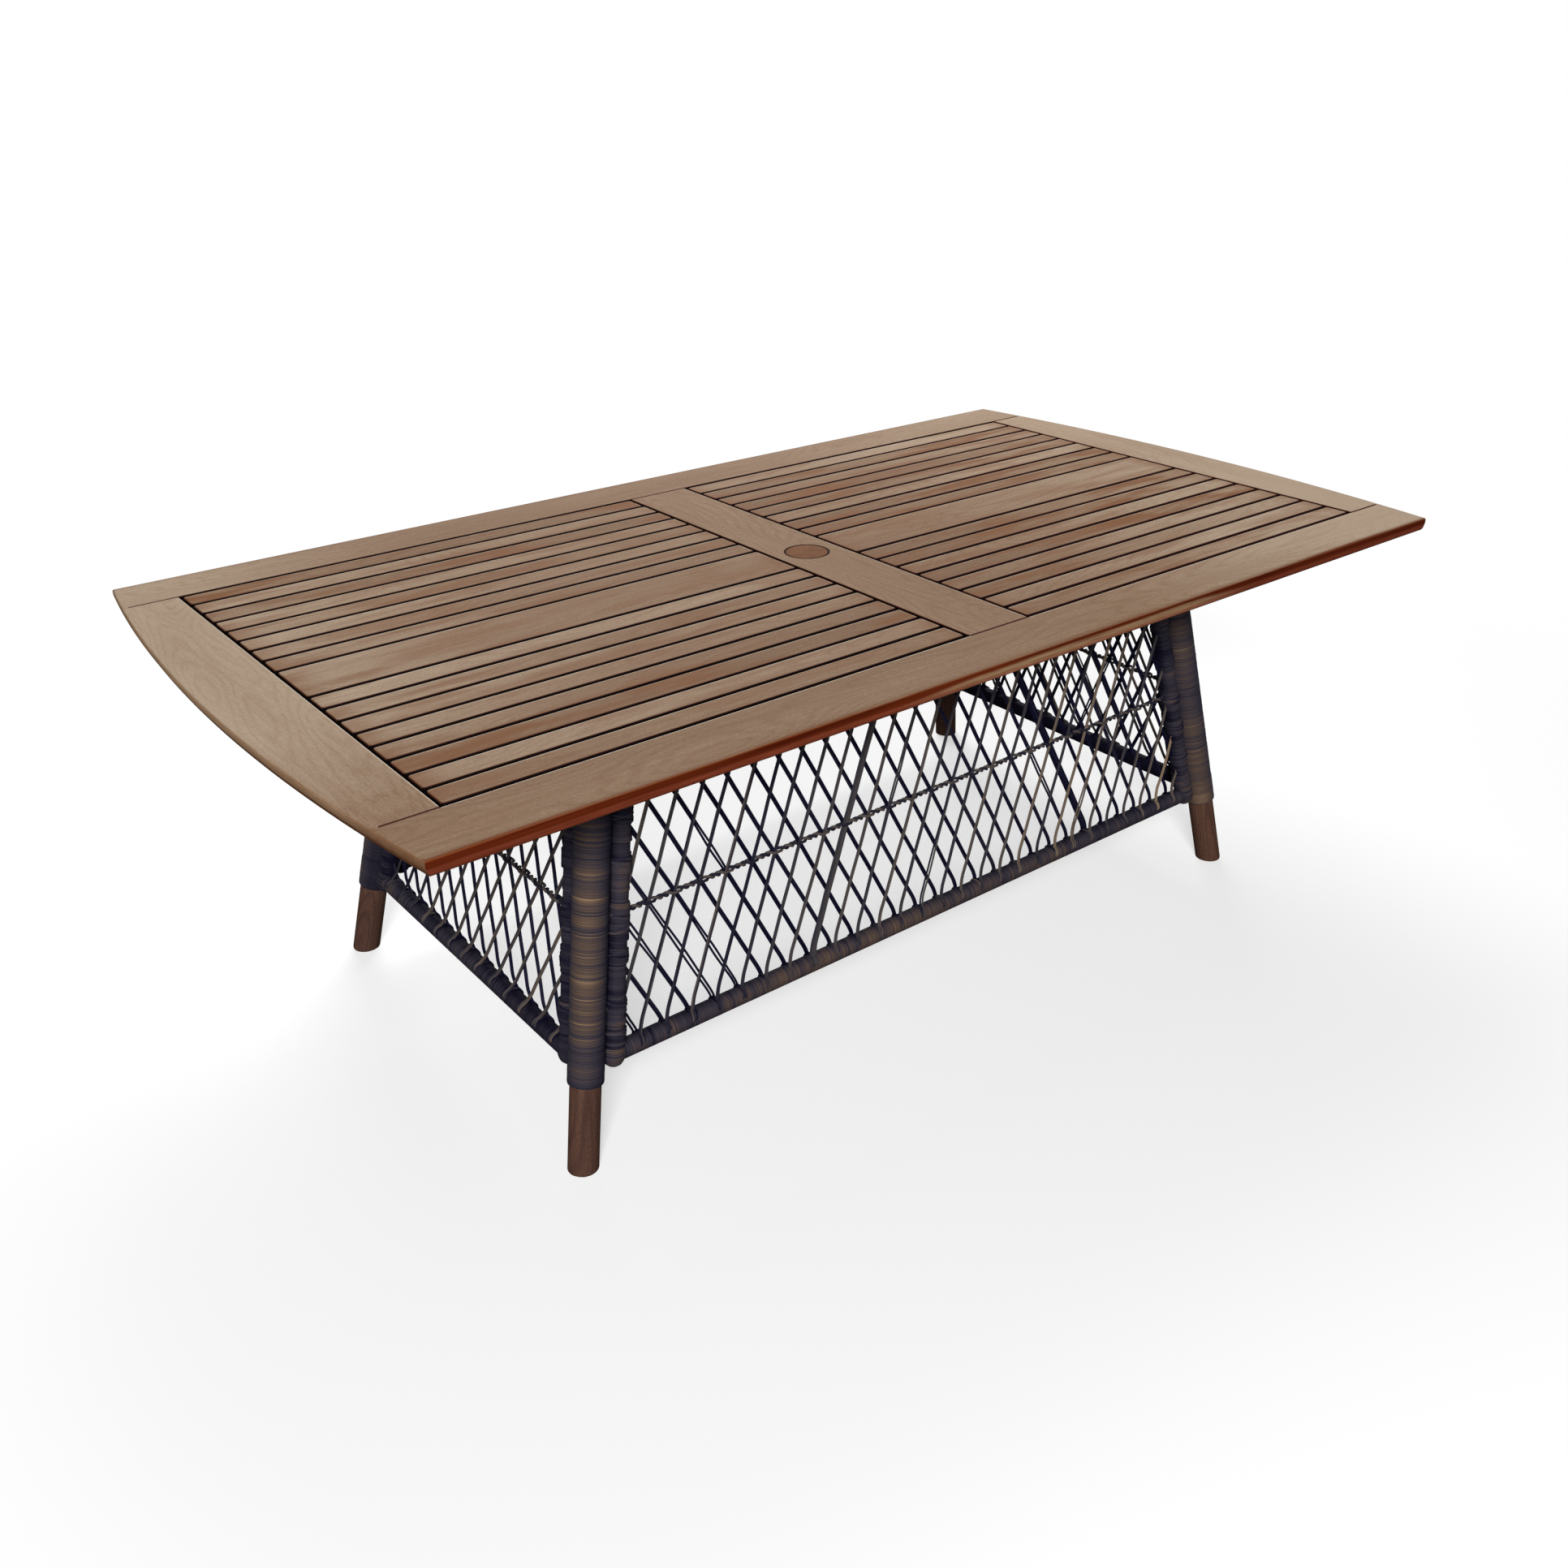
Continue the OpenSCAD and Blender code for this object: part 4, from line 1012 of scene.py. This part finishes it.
    def row(self, lean, k):
        """One row of the net: strands side by side that lie close and part here and there."""
        rng, front = self.rng, self.side == "front"
        slope, radius = lean * DIAMOND / self.diamond_h, STRAND_R[lean]
        x0 = lean * k * DIAMOND
        z = np.linspace(4.0, self.rise - 8.0, 60)
        z = z[np.abs(x0 + slope * (z - TUBE_R)) < self.edge(z) - TUCK]
        if len(z) < 5:
            return
        looped = z[0] < TUBE_R and abs(x0) < self.half - 22
        if looped:
            z = np.linspace(TUBE_R + LOOP_H, z[-1], 52)
        x = x0 + slope * (z - TUBE_R)
        share = (z - z[0]) / (z[-1] - z[0])
        bow = rng.normal(0, 2.0 if lean > 0 else 1.0) * np.sin(math.pi * share)
        bow = bow + rng.normal(0, 0.5) * np.sin(z / rng.uniform(40, 90) + rng.uniform(0, 6))
        centre, width, part = 0.0, 1.0, 0.0
        if rng.random() < 0.15:
            centre, width = rng.uniform(z[0], z[-1]), rng.uniform(30, 70)
            part = rng.uniform(0.8, 2.2)
        parted = front and (lean, k) in PARTED
        if parted:
            (centre, width), part = PARTED[lean, k], 1.7
        part = part * np.exp(-(((z - centre) / width) ** 2))
        weave = -lean * LAYER + 0.35 * lean * np.cos(math.pi * x / (DIAMOND / 2))
        usual = parted or rng.random() < 0.92
        tone = rng.uniform(0.0, 0.35) if usual else rng.uniform(0.35, 0.5)
        if lean > 0:
            tone = tone + 0.22 + 0.2 * x0 / self.half
        if looped:
            foot_x = x[0] - slope * (z[0] - TUBE_R) + rng.uniform(-3, 3)
            self.hook(foot_x, tone + rng.normal(0, 0.2))
        nx, nz = np.array([1, -slope]) / math.hypot(1, slope)
        for twin in (-3, -1, 1, 3) if front and (lean, k) in DOUBLED else (-1, 1):
            off = twin * (radius - 0.04 + part) + bow
            path = together(x + off * nx, weave, z + off * nz)
            if looped:
                path = np.concatenate([self.loop_end(*path[0], lean, slope), path])
            self.strand(path, radius, tone + rng.normal(0, 0.12), seed=k * 9.0 + twin)

    def mid_cords(self):
        """Two cords that part round each crossing at mid height and twist together between."""
        reach = self.edge(self.mid) - MID_TUCK
        x = np.arange(-reach, reach, 2.6)
        step = x / DIAMOND
        share = np.clip((step - np.floor(step) - 0.14) / 0.72, 0, 1)
        turned_by = 3 * math.pi * (np.floor(step) + share)
        near = MID_R - 0.1
        out = near + (MID_OUT - near) * np.abs(np.cos(math.pi * step)) ** 3
        for sign, tone in ((1, 0.5), (-1, 0.1)):
            y, z = sign * out * np.cos(turned_by), self.mid + sign * near * np.sin(turned_by)
            self.strand(together(x, y, z), MID_R, tone, sides=8)

    def build(self, name, material, slot, node):
        """Makes the piece gathered so far and starts the next one."""
        self.shape.build(f"{self.side}_{name}", material, slot, f"{self.side}_{node}")
        self.shape = Shape()

    def make(self):
        for s in (-1, 1):
            self.side_tube(s)
        self.cross_tube(0.0, 2.7, 26, (0.0, 0.25, 0.75))
        self.cross_tube(self.rise, 5.0, 16, (0.0, 0.5))
        self.build("panel_winding", WRAP, "resin_wicker", "panel_wrap")
        count = int(self.half // DIAMOND)
        for lean, title, material in ((1, "brown", STRAND_BROWN), (-1, "dark", STRAND_DARK)):
            for k in range(-count - 4, count + 1):
                self.row(lean, k)
            self.build("strands_" + title, material, "resin_wicker", "lattice")
        self.mid_cords()
        self.build("mid_cords", STRAND_BROWN, "resin_brown", "mid_line")


def dress_kept_nodes():
    """Materials of the nodes that stay as packed."""
    for material, endings in (
        (BATTEN_WOOD, ("batten", "cleat")),
        (ALUMINIUM, ("leg_tube", "panel_sides", "panel_bottom", "panel_top")),
        (STEEL, ("screws", "plates", "studs")),
        (RUBBER, ("spacers",)),
    ):
        for name, piece in nodes.items():
            if name.endswith(endings):
                piece.data.materials.clear()
                piece.data.materials.append(material)


# Studio
WHITE = (1, 1, 1, 1)
SOFT_LIGHT = 0.065
# Grey of the floor in the table's light and to the camera, and its own light to the camera
FLOOR_DARK, FLOOR_GREY, FLOOR_GLOW = 0.08, 0.6, 0.55
FLOOR_HALF, FLOOR_Z = 30, -0.0005


def make_world():
    """Soft light on the table, and white where the camera or a glossy surface looks past it."""
    world = bpy.data.worlds.new("studio")
    bpy.context.scene.world = world
    g = Graph(world, "World")
    soft, white = (g.fill(g.node("Background"), WHITE, strength) for strength in (SOFT_LIGHT, 1))
    path = g.node("LightPath").outputs
    most = path["Is Camera Ray"]
    for title in ("Is Glossy Ray", "Is Transmission Ray"):
        most = g.maths("MAXIMUM", most, path[title])
    g.mix_shaders(most, soft, white)


def make_floor():
    """Plain pale floor that keeps the shadow near the table and fades to white farther off."""
    g = Surface("floor_white")
    x, y, _ = g.split(g.object_place())
    away = g.maths("SQRT", g.plus(g.times(x, x), g.times(y, y)))
    camera_ray = g.node("LightPath").outputs["Is Camera Ray"]
    g.finish(g.mix(camera_ray, (*[FLOOR_DARK] * 3, 1), (*[FLOOR_GREY] * 3, 1)), 0.9, 0.05)
    g.shader.inputs["Emission Color"].default_value = WHITE
    g.put(g.shader.inputs["Emission Strength"], g.times(camera_ray, FLOOR_GLOW))
    far = g.times(g.span(away, 1.5, 3), camera_ray)
    g.mix_shaders(far, g.shader.outputs["BSDF"], g.node("Emission").outputs[0])
    mesh = bpy.data.meshes.new("floor")
    x = y = FLOOR_HALF
    corners = [(-x, -y, FLOOR_Z), (x, -y, FLOOR_Z), (x, y, FLOOR_Z), (-x, y, FLOOR_Z)]
    mesh.from_pydata(corners, [], [(0, 1, 2, 3)])
    mesh.materials.append(g.owner)
    floor = add_object("floor", mesh)


def make_lamps():
    for name, place, size, power in (
        ("key", (-4.2, -5.2, 4.2), 1.8, 440),
        ("back", (1.8, 3, 3.6), 3, 160),
    ):
        lamp = bpy.data.lights.new(name, "AREA")
        lamp.shape, lamp.size, lamp.energy = "SQUARE", size, power
        holder = add_object(name, lamp)
        holder.location = place
        aim = Vector((0, 0, 0.5)) - Vector(place)
        holder.rotation_euler = aim.to_track_quat("-Z", "Y").to_euler()


def make_camera():
    """The camera solved from the photograph's straight edges."""
    azimuth, elevation, roll = -37.9813, 27.0882, -0.4759
    data = bpy.data.cameras.new("camera")
    data.sensor_width, data.lens = 36, 33.985
    data.clip_start, data.clip_end = 0.05, 100
    camera = add_object("camera", data)
    camera.matrix_world = Matrix.Translation((-1.63472, -2.02039, 1.59283))
    for angle, axis in ((azimuth, "Z"), (90 - elevation, "X"), (roll, "Z")):
        camera.matrix_world = camera.matrix_world @ Matrix.Rotation(math.radians(angle), 4, axis)
    bpy.context.scene.camera = camera


make_top()
make_plug()
for seed, side in enumerate(LEG_ZONES, 5):
    make_leg(side, 1 if "right" in side else -1, 1 if "back" in side else -1, seed)
for turn, side in enumerate(("front", "right", "back", "left")):
    Panel(side, SHORT if turn % 2 else LONG, 90 * turn, 21 + turn).make()
dress_kept_nodes()
make_world()
make_floor()
make_lamps()
make_camera()

bpy.context.scene.view_settings.view_transform = "Standard"
